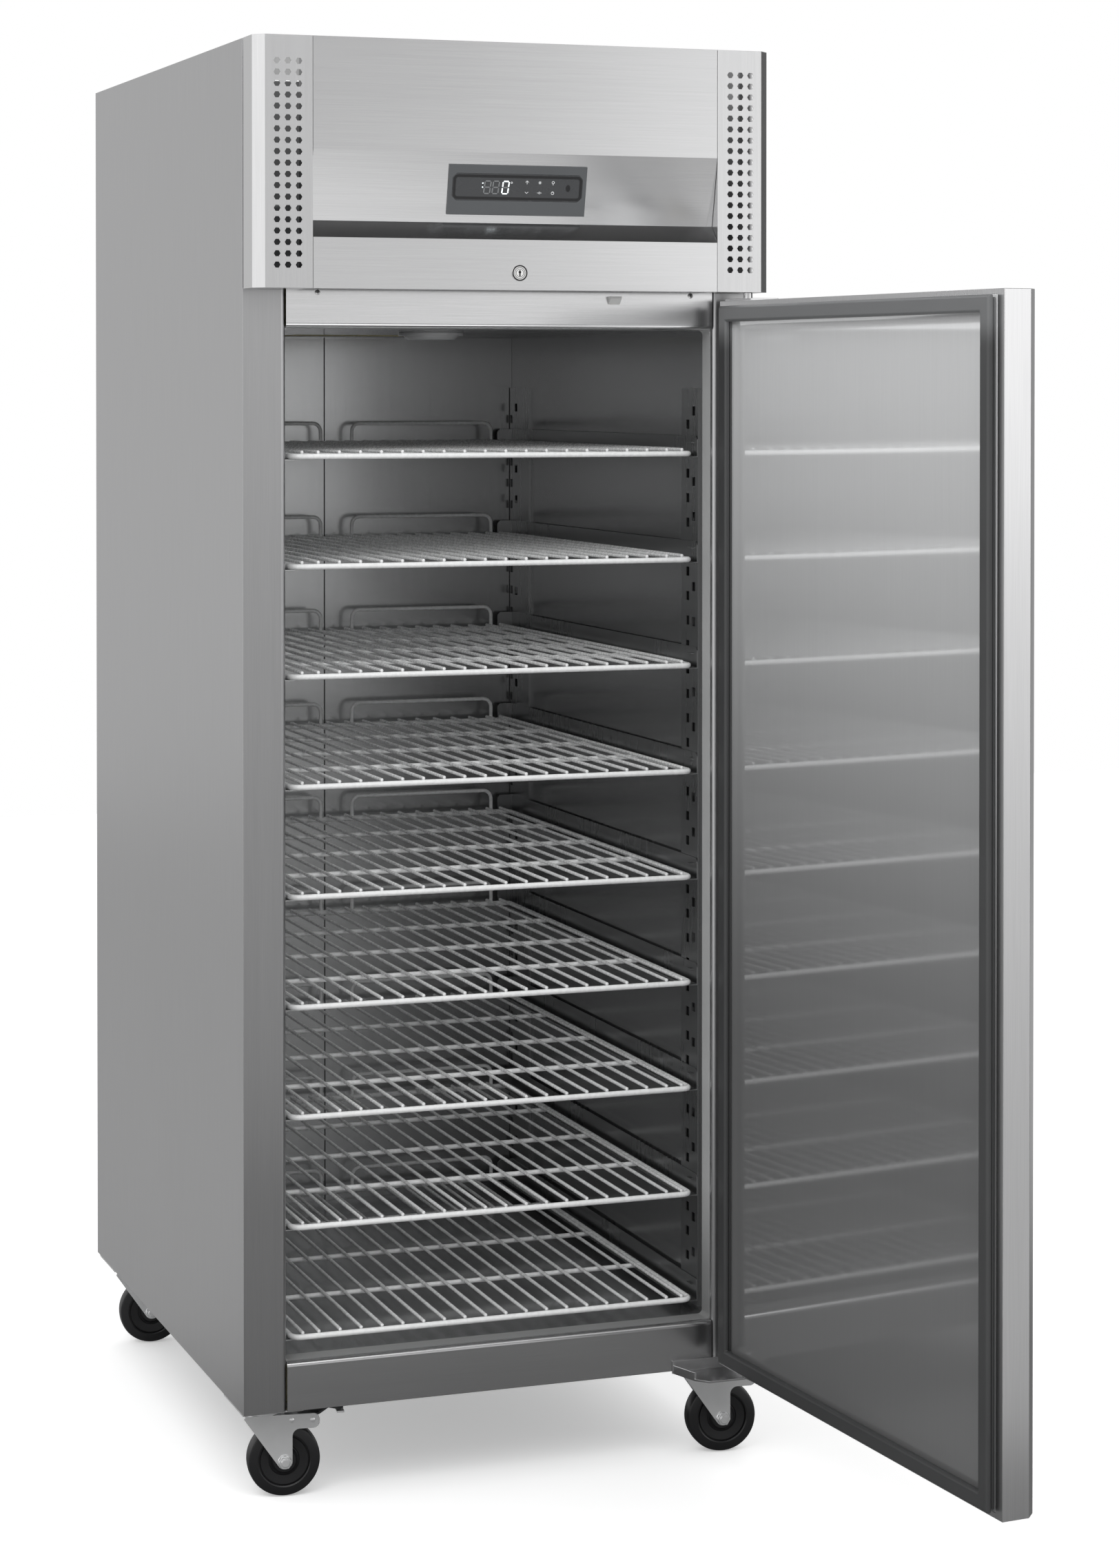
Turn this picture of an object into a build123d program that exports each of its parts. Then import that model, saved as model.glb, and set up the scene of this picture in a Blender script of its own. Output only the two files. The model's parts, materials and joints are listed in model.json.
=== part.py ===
"""Upright one-door ice cream freezer on casters, with the door standing open.

Millimetres. X runs to the right seen from the front, the door side looks to -Y, and Z is up.
The origin is on the floor, under the middle of the cabinet with its door shut.
"""
from build123d import *
import os

os.makedirs("parts", exist_ok=True)

# Cabinet
width = 740
body_depth = 925
body_height = 1850
caster_height = 130
skin = 1.0
wall = 60
sill_height = 67
header_height = 52
fascia_height = 335
edge_round = 7
lip_reach = 9
throat_depth = 38
throat_thickness = 2
liner_gap = 0.5
vent_count = 10
vent_pitch = 22
vent_length = 420
vent_height = 8

# Door
door_thickness = 52
door_gap = 13
door_open = 95
edge_cut = 14
door_bottom_gap = 11
door_top_gap = 12
door_return = 16
hinge_return = 18
gasket_width = 22
gasket_end_margin = 7
dish_depth = 4
dish_slope = 10
pivot_inset = 25
pivot_setback = 21
pin_radius = 4
socket_height = 45
lower_inset = 121
lower_slant = 16
lower_reach = 45
lower_front = 62
lower_flange = 12
bracket_thickness = 3
collar_radius = 6.5
bracket_length = 44
grip_width = 60
grip_height = 220
grip_depth = 26
grip_inset = 75
grip_z = 1050
grip_corner = 12
cam_reach = 14
running_fit = 0.05
seat_gap = 0.3

# Fascia
column_width = 79.5
column_depth = 60
side_gap = 5
panel_gap = 0.5
hole_size = 8
hole_pitch = 15
hole_columns = 3
hole_rows = 19
hole_column_offset = 60.5
hole_first_row = 30.5
flat_top = 150
slope_height = 94
slope_depth = 20
ledge_height = 23
panel_return = 30
panel_swing_inset = 10
display_width = 198
display_height = 67
display_drop = 16
window_width = 187
window_height = 37
window_corner = 6
bezel_thickness = 2.5
controller_depth = 55
lock_radius = 11
lock_height = 23
lock_proud = 1.5
cam_length = 45
cam_width = 14
cam_thickness = 2.5

# Shelves and what carries them
shelf_top_room = 150
shelf_pitch = 150
shelf_first = 22
shelf_side_gap = 14
shelf_front = 32
shelf_back_gap = 30
frame_wire = 8
grid_wire = 5
grid_pitch = 30
side_wire_gap = 14
bar_wire = 7
bar_count = 3
loop_wire = 6
loop_inner = 26
loop_inset = 34
loop_height = 34
wire_corner = 12
standard_proud = 4
standard_sheet = 1.5
front_standard_start = 45
front_standard_width = 62
rear_standard_gap = 3
rear_standard_width = 92
slot_width = 12
slot_height = 13
slot_pitch = 50
slot_rise = 10
standard_foot = 8
standard_top = 82
front_slot_inset = 16
rear_slot_inset = 62
runner_sheet = 1.5
runner_start = 44
runner_back_gap = 15
runner_rise = 25
ledge_width = 19.5
stop_width = 25
hook_size = 10

# Casters
wheel_diameter = 100
wheel_width = 32
tread_width = 24
hub_radius = 17
tyre_depth = 14
web_half = 12
axle_radius = 5
trail = 27
heading = -8
caster_inset = 44
caster_setback = 64
hinge_caster_inset = 59
hinge_caster_setback = 43
plate_length = 105
plate_width = 85
plate_thickness = 4
crown_drop = 16
fork_sheet = 3
fork_gap = 36
foot_radius = 10.5
nose_reach = 56
leg_reach = 10.5
ear_reach = 48
ear_height = 20
race_radius = 24
kingpin_radius = 6
nut_width = 16
nut_height = 6
pedal_sheet = 2.5
pedal_pin_radius = 3

# Cold and electric machinery
deck_sheet = 1.5
evaporator_start = 480
evaporator_wall = 25
evaporator_clear = 12
passage_width = 260
passage_depth = 230
fan_radius = 95
fan_clear = 6
lamp_radius = 48
lamp_drop = 11
lamp_setback = 330
inlet_x = -260
inlet_rise = 40
inlet_radius = 9
switch_x = 153
switch_width = 17
switch_depth = 9
switch_drop = 5
switch_rise = 6
fin_sheet = 0.8
tube_radius = 4
bend_reach = 8
evaporator_fin_pitch = 20
evaporator_rows = 3
evaporator_coil_gap = 35.5
evaporator_coil_depth = 120
condenser_fin_pitch = 12
condenser_rows = 5
condenser_half = 190
condenser_setback = 45
condenser_depth = 50
condenser_height = 210
shroud_depth = 45
motor_radius = 33
motor_depth = 40
bracket_strip = 3
bracket_reach = 20
compressor_x = 110
compressor_setback = 350
compressor_radius = 78
compressor_height = 190
buffer_height = 12
electrical_x = -250
electrical_width = 130
electrical_setback = 200
electrical_depth = 180
electrical_height = 120

# Places worked out from the sizes above
side_x = width / 2
stile_y = (door_thickness + door_gap - body_depth) / 2
front_y = stile_y - door_gap - door_thickness
back_y = stile_y + body_depth
floor_z = caster_height + sill_height
top_z = caster_height + body_height
fascia_z = top_z - fascia_height
ceiling_z = fascia_z - header_height
inner_x = side_x - wall
inner_back = back_y - wall
inner_depth = inner_back - stile_y
liner_front = stile_y + throat_depth
shelf_half_width = inner_x - shelf_side_gap
shelf_depth = inner_depth - shelf_front - shelf_back_gap
loop_outer = shelf_half_width - loop_inset
rear_standard_start = inner_depth - rear_standard_gap - rear_standard_width
front_slot = front_standard_start + front_slot_inset
rear_slot = rear_standard_start + rear_slot_inset
runner_end = inner_depth - runner_back_gap
shelf_count = int((ceiling_z - floor_z - shelf_first - shelf_top_room) / shelf_pitch) + 1
deck_z = ceiling_z + wall
pivot_x = side_x - pivot_inset
pivot_y = front_y + pivot_setback
door_z = caster_height + door_bottom_gap
door_top = fascia_z - door_top_gap
door_inner = front_y + door_thickness
panel_half = side_x - column_width
floor_of_deck = deck_z + deck_sheet
inlet_z = floor_of_deck + inlet_rise


def block(x0, x1, y0, y1, z0, z1):
    """A box given by its limits."""
    middle = Pos((x0 + x1) / 2, (y0 + y1) / 2, (z0 + z1) / 2)
    return middle * Box(abs(x1 - x0), abs(y1 - y0), abs(z1 - z0))


def rod(x, y, z, radius, length):
    """An upright cylinder that starts at z."""
    return Pos(x, y, z) * Cylinder(radius, length, align=(Align.CENTER, Align.CENTER, Align.MIN))


def along_depth(x, y, z, radius, length):
    """A cylinder that runs back from the front."""
    return Pos(x, y, z) * Rot(-90, 0, 0) * Cylinder(
        radius, length, align=(Align.CENTER, Align.CENTER, Align.MIN)
    )


def side_to_side(outline, x0, x1):
    """Extrudes an outline drawn with depth and height as its two axes, from x0 to x1."""
    return extrude(Plane(origin=(x0, 0, 0), x_dir=(0, 1, 0), z_dir=(1, 0, 0)) * outline, x1 - x0)


def sheet_outline(path, thickness, side=Side.LEFT):
    """The closed section of a sheet bent along a path."""
    return make_face(path.offset_2d(thickness, kind=Kind.INTERSECTION, side=side))


def mirrored(shape):
    return mirror(shape, Plane.YZ)


def save(name, *pieces):
    solids = [s for piece in pieces for s in piece.solids()]
    shape = solids[0] if len(solids) == 1 else Compound(solids)
    export_step(shape, f"parts/{name}.step")


# Cabinet skin: two bent side sheets whose front edges are the door stiles, a back and a bottom.
hem = 15
top_flange = 20


def side_panel():
    path = FilletPolyline(
        (-side_x + hem, back_y),
        (-side_x, back_y),
        (-side_x, stile_y),
        (-inner_x, stile_y),
        (-inner_x, stile_y + lip_reach),
        radius=(skin / 2, skin / 2, edge_round),
    )
    panel = Pos(0, 0, caster_height) * extrude(sheet_outline(path, skin), body_height)
    stile_end = block(
        -side_x + top_flange, -inner_x + 1, stile_y - 1, stile_y + lip_reach + 1, fascia_z, top_z + 1
    )
    return panel - stile_end


def back_panel():
    sheet = block(-side_x + skin, side_x - skin, back_y - 2 * skin, back_y - skin, caster_height, top_z)
    slot = block(-vent_length / 2, vent_length / 2, back_y - 3 * skin, back_y, 0, vent_height)
    first = top_z - hem - vent_count * vent_pitch
    sheet -= [Pos(0, 0, first + i * vent_pitch) * slot for i in range(vent_count)]
    return sheet - along_depth(inlet_x, back_y - 3 * skin, inlet_z, inlet_radius + running_fit, 3 * skin)


left_side = side_panel()
save("left_side_panel", left_side)
save("right_side_panel", mirrored(left_side))
save("back_panel", back_panel())
bottom_front = stile_y + hem
save(
    "bottom_panel",
    block(
        -side_x + skin, side_x - skin, bottom_front, back_y - 2 * skin, caster_height, caster_height + skin
    ),
)


# Front rails: the sill under the opening and the header above it, folded into the throat.
def front_rail(outer_z, opening_z, fold):
    path = FilletPolyline(
        (stile_y + fold, outer_z),
        (stile_y, outer_z),
        (stile_y, opening_z),
        (stile_y + lip_reach, opening_z),
        radius=(skin / 2, edge_round),
    )
    side = Side.RIGHT if opening_z > outer_z else Side.LEFT
    return side_to_side(sheet_outline(path, skin, side), -inner_x + liner_gap, inner_x - liner_gap)


sill = front_rail(caster_height, floor_z, hem)
header = front_rail(deck_z, ceiling_z, hem)
save("front_rails", sill, header)


# Insulation between the skin and the liner, in five slabs.
passage = block(
    -passage_width / 2,
    passage_width / 2,
    inner_back - (evaporator_wall + evaporator_clear + passage_depth),
    inner_back - (evaporator_wall + evaporator_clear),
    ceiling_z - 1,
    deck_z + deck_sheet + 1,
)
foam_back = back_y - 2 * skin
foam_outer = side_x - skin
foam_inner = inner_x + skin
foam_front = stile_y + hem
side_slab = block(-foam_outer, -foam_inner, foam_front, foam_back, caster_height + skin, deck_z)
side_slab -= block(
    -foam_inner - edge_round, 0, foam_front - 1, liner_front, caster_height, deck_z + 1
)
back_slab = block(-foam_inner, foam_inner, inner_back + skin, foam_back, caster_height + skin, deck_z)
floor_slab = block(
    -foam_inner, foam_inner, liner_front, inner_back + skin, caster_height + skin, floor_z - skin
)
ceiling_slab = block(-foam_inner, foam_inner, liner_front, inner_back + skin, ceiling_z + skin, deck_z)
save("foam_insulation", side_slab, mirrored(side_slab), back_slab, floor_slab, ceiling_slab - passage)

# Liner: separate sheets that meet at the inner corners. The back wall is in two pieces.
back_seam = -10
left_wall = block(
    -foam_inner, -inner_x, liner_front, inner_back + skin, floor_z - skin, ceiling_z + skin
)
save("liner_side_walls", left_wall, mirrored(left_wall))
save(
    "liner_back_wall",
    block(-inner_x, back_seam, inner_back, inner_back + skin, floor_z, ceiling_z),
    block(back_seam, inner_x, inner_back, inner_back + skin, floor_z, ceiling_z),
)
save(
    "liner_ceiling",
    block(-inner_x, inner_x, liner_front, inner_back + skin, ceiling_z, ceiling_z + skin) - passage,
)
save("liner_floor", block(-inner_x, inner_x, liner_front, inner_back + skin, floor_z - skin, floor_z))

# Throat frame: the moulded strip that lines the opening between the rails and the liner.
throat_outer = block(
    -inner_x - throat_thickness,
    inner_x + throat_thickness,
    stile_y + lip_reach,
    liner_front,
    floor_z - throat_thickness,
    ceiling_z + throat_thickness,
)
throat_hole = block(-inner_x, inner_x, stile_y, liner_front + 1, floor_z, ceiling_z)
throat_hole = fillet(throat_hole.edges().filter_by(Axis.Y), edge_round)
save("throat_frame", throat_outer - throat_hole)


# Shelf standards: shallow channels on the side walls with a column of slots at one pitch.
def shelf_height(level):
    return floor_z + shelf_first + level * shelf_pitch


standard_x = inner_x - standard_proud
slots_top = ceiling_z - standard_top
slots_bottom = floor_z + standard_foot
slot_total = int((slots_top - shelf_height(0) - slot_rise - slot_height) / slot_pitch) + 1


def standard(start, channel_width, slot_at):
    y0 = stile_y + start
    channel = block(standard_x, inner_x, y0, y0 + channel_width, slots_bottom, slots_top)
    channel -= block(
        standard_x + standard_sheet,
        inner_x + 1,
        y0 + standard_sheet,
        y0 + channel_width - standard_sheet,
        slots_bottom - 1,
        slots_top + 1,
    )
    slot = Pos(standard_x, stile_y + slot_at, shelf_height(0) + slot_rise) * Box(
        3 * standard_sheet, slot_width, slot_height
    )
    return channel - [Pos(0, 0, i * slot_pitch) * slot for i in range(slot_total)]


front_standard = standard(front_standard_start, front_standard_width, front_slot)
rear_standard = standard(rear_standard_start, rear_standard_width, rear_slot)
save(
    "shelf_standards",
    front_standard,
    rear_standard,
    mirrored(front_standard),
    mirrored(rear_standard),
)


# Shelf runners: angle strips with a stop at the back and a hook in a slot of each standard.
def runner():
    outer = standard_x
    inner = standard_x - runner_sheet
    ledge_inner = inner - ledge_width
    bottom = -frame_wire / 2 - runner_sheet
    y0 = stile_y + runner_start
    y1 = stile_y + runner_end
    corner = 5
    side = Polyline(
        (y0, bottom),
        (y1, bottom),
        (y1, runner_rise),
        (y0 + corner, runner_rise),
        (y0, runner_rise - corner),
        close=True,
    )
    upright = side_to_side(make_face(side), inner, outer)
    ledge = block(ledge_inner, inner, y0, y1, bottom, -frame_wire / 2)
    stop_inner = inner - stop_width
    stop = block(stop_inner, inner, y1 - runner_sheet, y1, bottom, runner_rise)
    stop = chamfer(stop.edges().filter_by(Axis.Y).group_by(Axis.Z)[-1].sort_by(Axis.X)[0], corner)
    shape = upright + ledge + stop
    for slot_at in (front_slot, rear_slot):
        shape += Pos(outer, stile_y + slot_at, slot_rise) * Box(
            standard_proud - runner_sheet, hook_size, hook_size, align=(Align.MIN, Align.CENTER, Align.CENTER)
        )
    return shape


right_runner = runner()
left_runner = mirrored(right_runner)
levels = [shelf_height(i) for i in range(shelf_count)]
save("shelf_runners", *[Pos(0, 0, z) * piece for z in levels for piece in (right_runner, left_runner)])


# Wire shelves: a frame, cross bars under a grid of thin wires, and two upstands at the back.
def six_sided(plane, thickness):
    """A wire's section with flats facing along the plane's x direction."""
    return plane * Rot(0, 0, 30) * RegularPolygon(thickness / 2, 6, major_radius=False)


def bent_wire(points, thickness, closed=False):
    """A wire that follows straight runs, with its corners cut."""
    path = Polyline(*points, close=closed)
    across = Vector(0, 1, 0) if abs((path % 0).Z) > 0.5 else Vector(0, 0, 1)
    plane = Plane(origin=path @ 0, x_dir=across, z_dir=path % 0)
    return sweep(six_sided(plane, thickness), path=path, transition=Transition.RIGHT)


def straight_wire(start, length, thickness, direction):
    plane = Plane(origin=start, x_dir=(0, 0, 1), z_dir=direction)
    return extrude(six_sided(plane, thickness), length)


def thin_wire(x, y0, y1, z):
    """A thin wire along the depth, plain enough to repeat a hundred times."""
    half = grid_wire / 2
    return block(x - half, x + half, y0, y1, z - half, z + half)


def shelf():
    """One shelf with the middle of its frame wire at height 0."""
    x = shelf_half_width - frame_wire / 2
    y0 = stile_y + shelf_front + frame_wire / 2
    y1 = y0 + shelf_depth - frame_wire
    cut = wire_corner
    frame = bent_wire(
        [
            (-x + cut, y0),
            (x - cut, y0),
            (x, y0 + cut),
            (x, y1 - cut),
            (x - cut, y1),
            (-x + cut, y1),
            (-x, y1 - cut),
            (-x, y0 + cut),
        ],
        frame_wire,
        closed=True,
    )
    pieces = [frame]
    bar_z = (frame_wire - bar_wire) / 2
    bar_half = x - frame_wire / 2
    for i in range(bar_count):
        y = y0 + (y1 - y0) * (i + 1) / (bar_count + 1)
        pieces.append(straight_wire((-bar_half, y, bar_z), 2 * bar_half, bar_wire, (1, 0, 0)))
    grid_z = (frame_wire + grid_wire) / 2
    side_wire = x - side_wire_gap
    pairs = int(side_wire / grid_pitch)
    places = [grid_pitch * (i + 0.5) for i in range(pairs)] + [side_wire]
    for place in places:
        for grid_x in (-place, place):
            pieces.append(thin_wire(grid_x, y0, y1, grid_z))
    low = frame_wire / 2
    high = low + loop_height - loop_wire / 2
    upstand = bent_wire(
        [
            (loop_inner, y1, low),
            (loop_inner, y1, high - wire_corner / 2),
            (loop_inner + wire_corner / 2, y1, high),
            (loop_outer - wire_corner / 2, y1, high),
            (loop_outer, y1, high - wire_corner / 2),
            (loop_outer, y1, low),
        ],
        loop_wire,
    )
    return pieces + [upstand, mirrored(upstand)]


shelf_pieces = shelf()
for level, z in enumerate(levels, 1):
    save(f"shelf_{level}", *[Pos(0, 0, z) * piece for piece in shelf_pieces])

# Ceiling lamp: a bright ring around a low domed lens.
lamp_y = stile_y + lamp_setback
ring_drop = lamp_drop / 2
lamp_ring = rod(0, lamp_y, ceiling_z - ring_drop, lamp_radius, ring_drop)
lens_radius = lamp_radius - 8
lens = rod(0, lamp_y, ceiling_z - lamp_drop, lens_radius, lamp_drop)
lens = chamfer(lens.edges().group_by(Axis.Z)[0], lamp_drop - ring_drop - 1)
save("ceiling_lamp", lamp_ring - rod(0, lamp_y, 0, lens_radius, top_z), lens)


# Fascia columns: folded sheets with rows of six-sided air holes and a closed foot.
lower_flat = fascia_height - flat_top - slope_height - ledge_height
swing_y = front_y + panel_swing_inset
swing_z = top_z - panel_swing_inset
swing_pin = 2.5


def column():
    inner = side_x - column_width
    back = front_y + column_depth
    outline = Polyline(
        (side_x, back),
        (side_x, front_y + edge_cut),
        (side_x - edge_cut, front_y),
        (inner, front_y),
        (inner, stile_y),
    )
    sheet = extrude(sheet_outline(outline, skin, Side.RIGHT), fascia_height)
    foot = Polyline(
        (side_x - skin, back),
        (side_x - skin, front_y + edge_cut),
        (side_x - edge_cut, front_y + skin),
        (inner + skin, front_y + skin),
        (inner + skin, stile_y),
        (side_x - skin - side_gap, stile_y),
        close=True,
    )
    shape = Pos(0, 0, fascia_z) * (sheet + extrude(make_face(foot), skin))
    hole = extrude(Plane.XZ * RegularPolygon(hole_size / 2, 6, major_radius=False), 3 * skin, both=True)
    first = Pos(side_x - hole_column_offset, front_y, fascia_z + hole_first_row)
    grid = [Pos(hole_pitch * i, 0, hole_pitch * j) for i in range(hole_columns) for j in range(hole_rows)]
    shape -= [first * step * hole for step in grid]
    pin_hole = Pos(inner, swing_y, swing_z) * Rot(0, 90, 0) * Cylinder(swing_pin + running_fit, 4 * skin)
    return shape - pin_hole


right_column = column()
left_column = mirrored(right_column)
right_column -= rod(pivot_x, pivot_y, fascia_z - 1, pin_radius + running_fit, 3)
save("fascia_columns", left_column, right_column)

# Service panel: one folded sheet with cheeks, swinging on two studs near its top edge.
panel_x = panel_half - panel_gap
panel_back = front_y + panel_return
ledge_z = fascia_z + lower_flat
slope_z = ledge_z + ledge_height
flat_z = slope_z + slope_height
panel_points = [
    (panel_back, fascia_z),
    (front_y, fascia_z),
    (front_y, ledge_z),
    (front_y + slope_depth, slope_z),
    (front_y, flat_z),
    (front_y, top_z),
    (panel_back, top_z),
]
display_t = 1 - (flat_z - display_drop - display_height / 2 - slope_z) / slope_height
display_plane = Plane(
    origin=(0, front_y + slope_depth * display_t, flat_z - display_drop - display_height / 2),
    x_dir=(1, 0, 0),
    z_dir=(0, -slope_height, -slope_depth),
)
controller_width = window_width - 30
controller_height = window_height - 5
window_rise = 4
lock_z = fascia_z + lock_height
cam_y = front_y + 20
lock_body = lock_radius - 1.5
plug_radius = lock_radius - 4


def cam_slot(z0, z1):
    """The slot that the lock's cam sweeps through as it turns down."""
    return block(-cam_width / 2 - 2, cam_length, cam_y - 2, cam_y + cam_thickness + 2, z0, z1)


panel = side_to_side(sheet_outline(Polyline(*panel_points), skin, Side.RIGHT), -panel_x, panel_x)
cheek = side_to_side(make_face(Polyline(*panel_points, close=True)), -panel_x, -panel_x + skin)
stud = Pos(-panel_x, swing_y, swing_z) * Rot(0, 90, 0) * Cylinder(swing_pin, 6 * skin)
panel += [cheek, mirrored(cheek), stud, mirrored(stud)]
panel -= display_plane * Pos(0, window_rise, 0) * Box(controller_width, controller_height, 10 * skin)
panel -= along_depth(0, front_y - 1, lock_z, lock_body, 5)
panel -= cam_slot(fascia_z - 1, fascia_z + 2 * skin)
save("fascia_panel", panel)

# Display: a dark bezel on the sloping face, its window, and the controller behind it.
window_plane = display_plane * Pos(0, window_rise, 0)
slope_length = (slope_height**2 + slope_depth**2) ** 0.5
bezel_height = display_height * slope_length / slope_height
window_shape = chamfer(Rectangle(window_width, window_height).vertices(), window_corner)
window_sheet = 1.5
bezel = display_plane * extrude(Rectangle(display_width, bezel_height), bezel_thickness)
pocket = window_plane * Pos(0, 0, bezel_thickness - window_sheet) * extrude(window_shape, 2 * window_sheet)
opening = window_plane * Box(controller_width, controller_height, 4 * bezel_thickness)
save("display_bezel", bezel - pocket - opening)
window_seat = window_plane * Pos(0, 0, bezel_thickness - window_sheet)
save("display_window", window_seat * extrude(window_shape, window_sheet))
controller = window_plane * Pos(0, 0, bezel_thickness - window_sheet) * Box(
    controller_width - 1,
    controller_height - 1,
    controller_depth,
    align=(Align.CENTER, Align.CENTER, Align.MAX),
)
save("controller_box", controller)

# Lock: a fixed housing with a flange, and a barrel that turns a cam down into the door.
housing_length = cam_y - front_y - 0.5
housing = along_depth(0, front_y - lock_proud, lock_z, lock_radius, lock_proud)
housing += along_depth(0, front_y - lock_proud, lock_z, lock_body, housing_length + lock_proud)
housing -= along_depth(0, front_y - 5, lock_z, plug_radius + running_fit, 50)
save("lock_housing", housing)
barrel = along_depth(0, front_y - lock_proud, lock_z, plug_radius, cam_y - front_y + lock_proud)
barrel -= block(-1, 1, front_y - 5, front_y + 5, lock_z - 4, lock_z + 4)
cam_body = SlotCenterToCenter(cam_length - cam_width / 2, cam_width)
cam_middle = (cam_length - cam_width / 2) / 2
cam = extrude(Plane((cam_middle, cam_y, lock_z), x_dir=(1, 0, 0), z_dir=(0, 1, 0)) * cam_body, cam_thickness)
save("lock_barrel", barrel, cam)

# Door switch: a small wedge-shaped magnetic switch on the header, just above the shut door.
switch = block(
    switch_x,
    switch_x + switch_width,
    stile_y - switch_depth,
    stile_y,
    door_top - switch_drop,
    door_top + switch_rise,
)
switch = chamfer(switch.edges().filter_by(Axis.X).group_by(Axis.Y)[0].sort_by(Axis.Z)[0], switch_depth - 1)
save("door_switch", switch)

# Cabinet hinge brackets: a folded one inside the right fascia foot, and one that carries the lower pin.
bracket_back = 3
socket_z = fascia_z + skin
socket_left = panel_half + 3
socket_right = side_x - 5
socket_front = pivot_y - 14
socket_outline = Polyline(
    (socket_left, stile_y),
    (socket_left, socket_front),
    (socket_right - edge_cut, socket_front),
    (socket_right, socket_front + edge_cut),
    (socket_right, stile_y),
    close=True,
)
socket = Pos(0, 0, socket_z) * extrude(make_face(socket_outline), plate_thickness)
socket_back = stile_y - bracket_back
socket += block(socket_left, socket_right, socket_back, stile_y, socket_z, socket_z + socket_height)
socket -= rod(pivot_x, pivot_y, socket_z - 1, pin_radius + running_fit, plate_thickness + 2)

lower_start = side_x - lower_inset
outline = Polyline(
    (lower_start, stile_y),
    (lower_start + lower_slant, stile_y - lower_reach),
    (lower_start + 2 * lower_slant, stile_y - lower_front),
    (side_x - 16, stile_y - lower_front),
    (side_x - 8, stile_y - lower_front + 8),
    (side_x - 8, stile_y),
    close=True,
)
lower_z = caster_height - bracket_back
lower = Pos(0, 0, lower_z) * extrude(make_face(outline), bracket_back)
lower += block(lower_start, side_x - 8, stile_y - bracket_back, stile_y, lower_z, caster_height + 15)
slant_edge = Polyline(
    (lower_start, stile_y),
    (lower_start + lower_slant, stile_y - lower_reach),
    (lower_start + lower_slant + bracket_back, stile_y - lower_reach),
    (lower_start + bracket_back, stile_y),
    close=True,
)
slant_wall = extrude(make_face(slant_edge), lower_flange)
lower += Pos(0, 0, lower_z) * slant_wall
pin_reach = 18
collar_height = door_bottom_gap - bracket_thickness - seat_gap
lower += rod(pivot_x, pivot_y, caster_height - 1, pin_radius, door_bottom_gap + pin_reach)
lower += rod(pivot_x, pivot_y, caster_height - 1, collar_radius, collar_height + 1)
save("hinge_brackets", socket, lower)

# Door, modelled shut and then swung open about its hinge pins.
swing = Pos(pivot_x, pivot_y, 0) * Rot(0, 0, door_open) * Pos(-pivot_x, -pivot_y, 0)
window_x0 = -side_x + door_return
window_x1 = side_x - hinge_return
window_z0 = door_z + gasket_end_margin
window_z1 = door_top - gasket_end_margin
bracket_x0 = pivot_x - bracket_length - 15
bracket_x1 = pivot_x + 17
bracket_y0 = pivot_y - 17
bracket_y1 = pivot_y + 27


def door_body(inset):
    outline = Polyline(
        (-side_x + inset, door_inner - inset),
        (-side_x + inset, front_y + edge_cut),
        (-side_x + edge_cut, front_y + inset),
        (side_x - edge_cut, front_y + inset),
        (side_x - inset, front_y + edge_cut),
        (side_x - inset, door_inner - inset),
        close=True,
    )
    return Pos(0, 0, door_z + inset) * extrude(make_face(outline), door_top - door_z - 2 * inset)


def window_frustum(margin, slope, depth, offset):
    """The tapered hollow pressed into the inner panel."""
    middle_x = (window_x0 + window_x1) / 2
    middle_z = (window_z0 + window_z1) / 2
    faces = []
    for inset, y in ((margin, door_inner - offset), (margin + slope, door_inner - offset - depth)):
        plane = Plane((middle_x, y, middle_z), x_dir=(1, 0, 0), z_dir=(0, -1, 0))
        faces.append(
            plane * Rectangle(window_x1 - window_x0 - 2 * inset, window_z1 - window_z0 - 2 * inset)
        )
    return loft(faces)


grip_x = -side_x + grip_inset
cup_wall = 2


def grip_shape(inset, front):
    """The rounded pocket of the grip, smaller by an inset on every side but the front."""
    half = grip_width / 2 - inset
    tall = grip_height / 2 - inset
    shape = block(
        grip_x - half, grip_x + half, front, front_y + grip_depth - inset, grip_z - tall, grip_z + tall
    )
    return fillet(shape.edges().filter_by(Axis.Y), grip_corner - inset)


grip_hole = grip_shape(0, front_y)
bolt_slot = cam_slot(door_top - cam_reach, door_top + 1)
pin_pocket = rod(pivot_x, pivot_y, door_z - 1, pin_radius + 2, pin_reach + 3)
door_core = door_body(skin)
dish = window_frustum(gasket_width + 4, dish_slope, dish_depth, 0)
dish_back = window_frustum(gasket_width + 4 - skin, dish_slope, dish_depth, skin)
skin_window = block(
    window_x0, window_x1, door_inner - 2 * skin, door_inner + 1, window_z0, window_z1
)
door_skin = door_body(0) - door_core - skin_window - grip_hole - bolt_slot - pin_pocket
save("door_skin", swing * door_skin)
save("door_core", swing * (door_core - dish_back - grip_hole - bolt_slot - pin_pocket))
liner = block(window_x0, window_x1, door_inner - skin, door_inner, window_z0, window_z1)
save("door_liner", swing * (liner + dish_back - dish))
cup = grip_hole - grip_shape(cup_wall, front_y - 1)
save("grip_cup", swing * cup)


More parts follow.
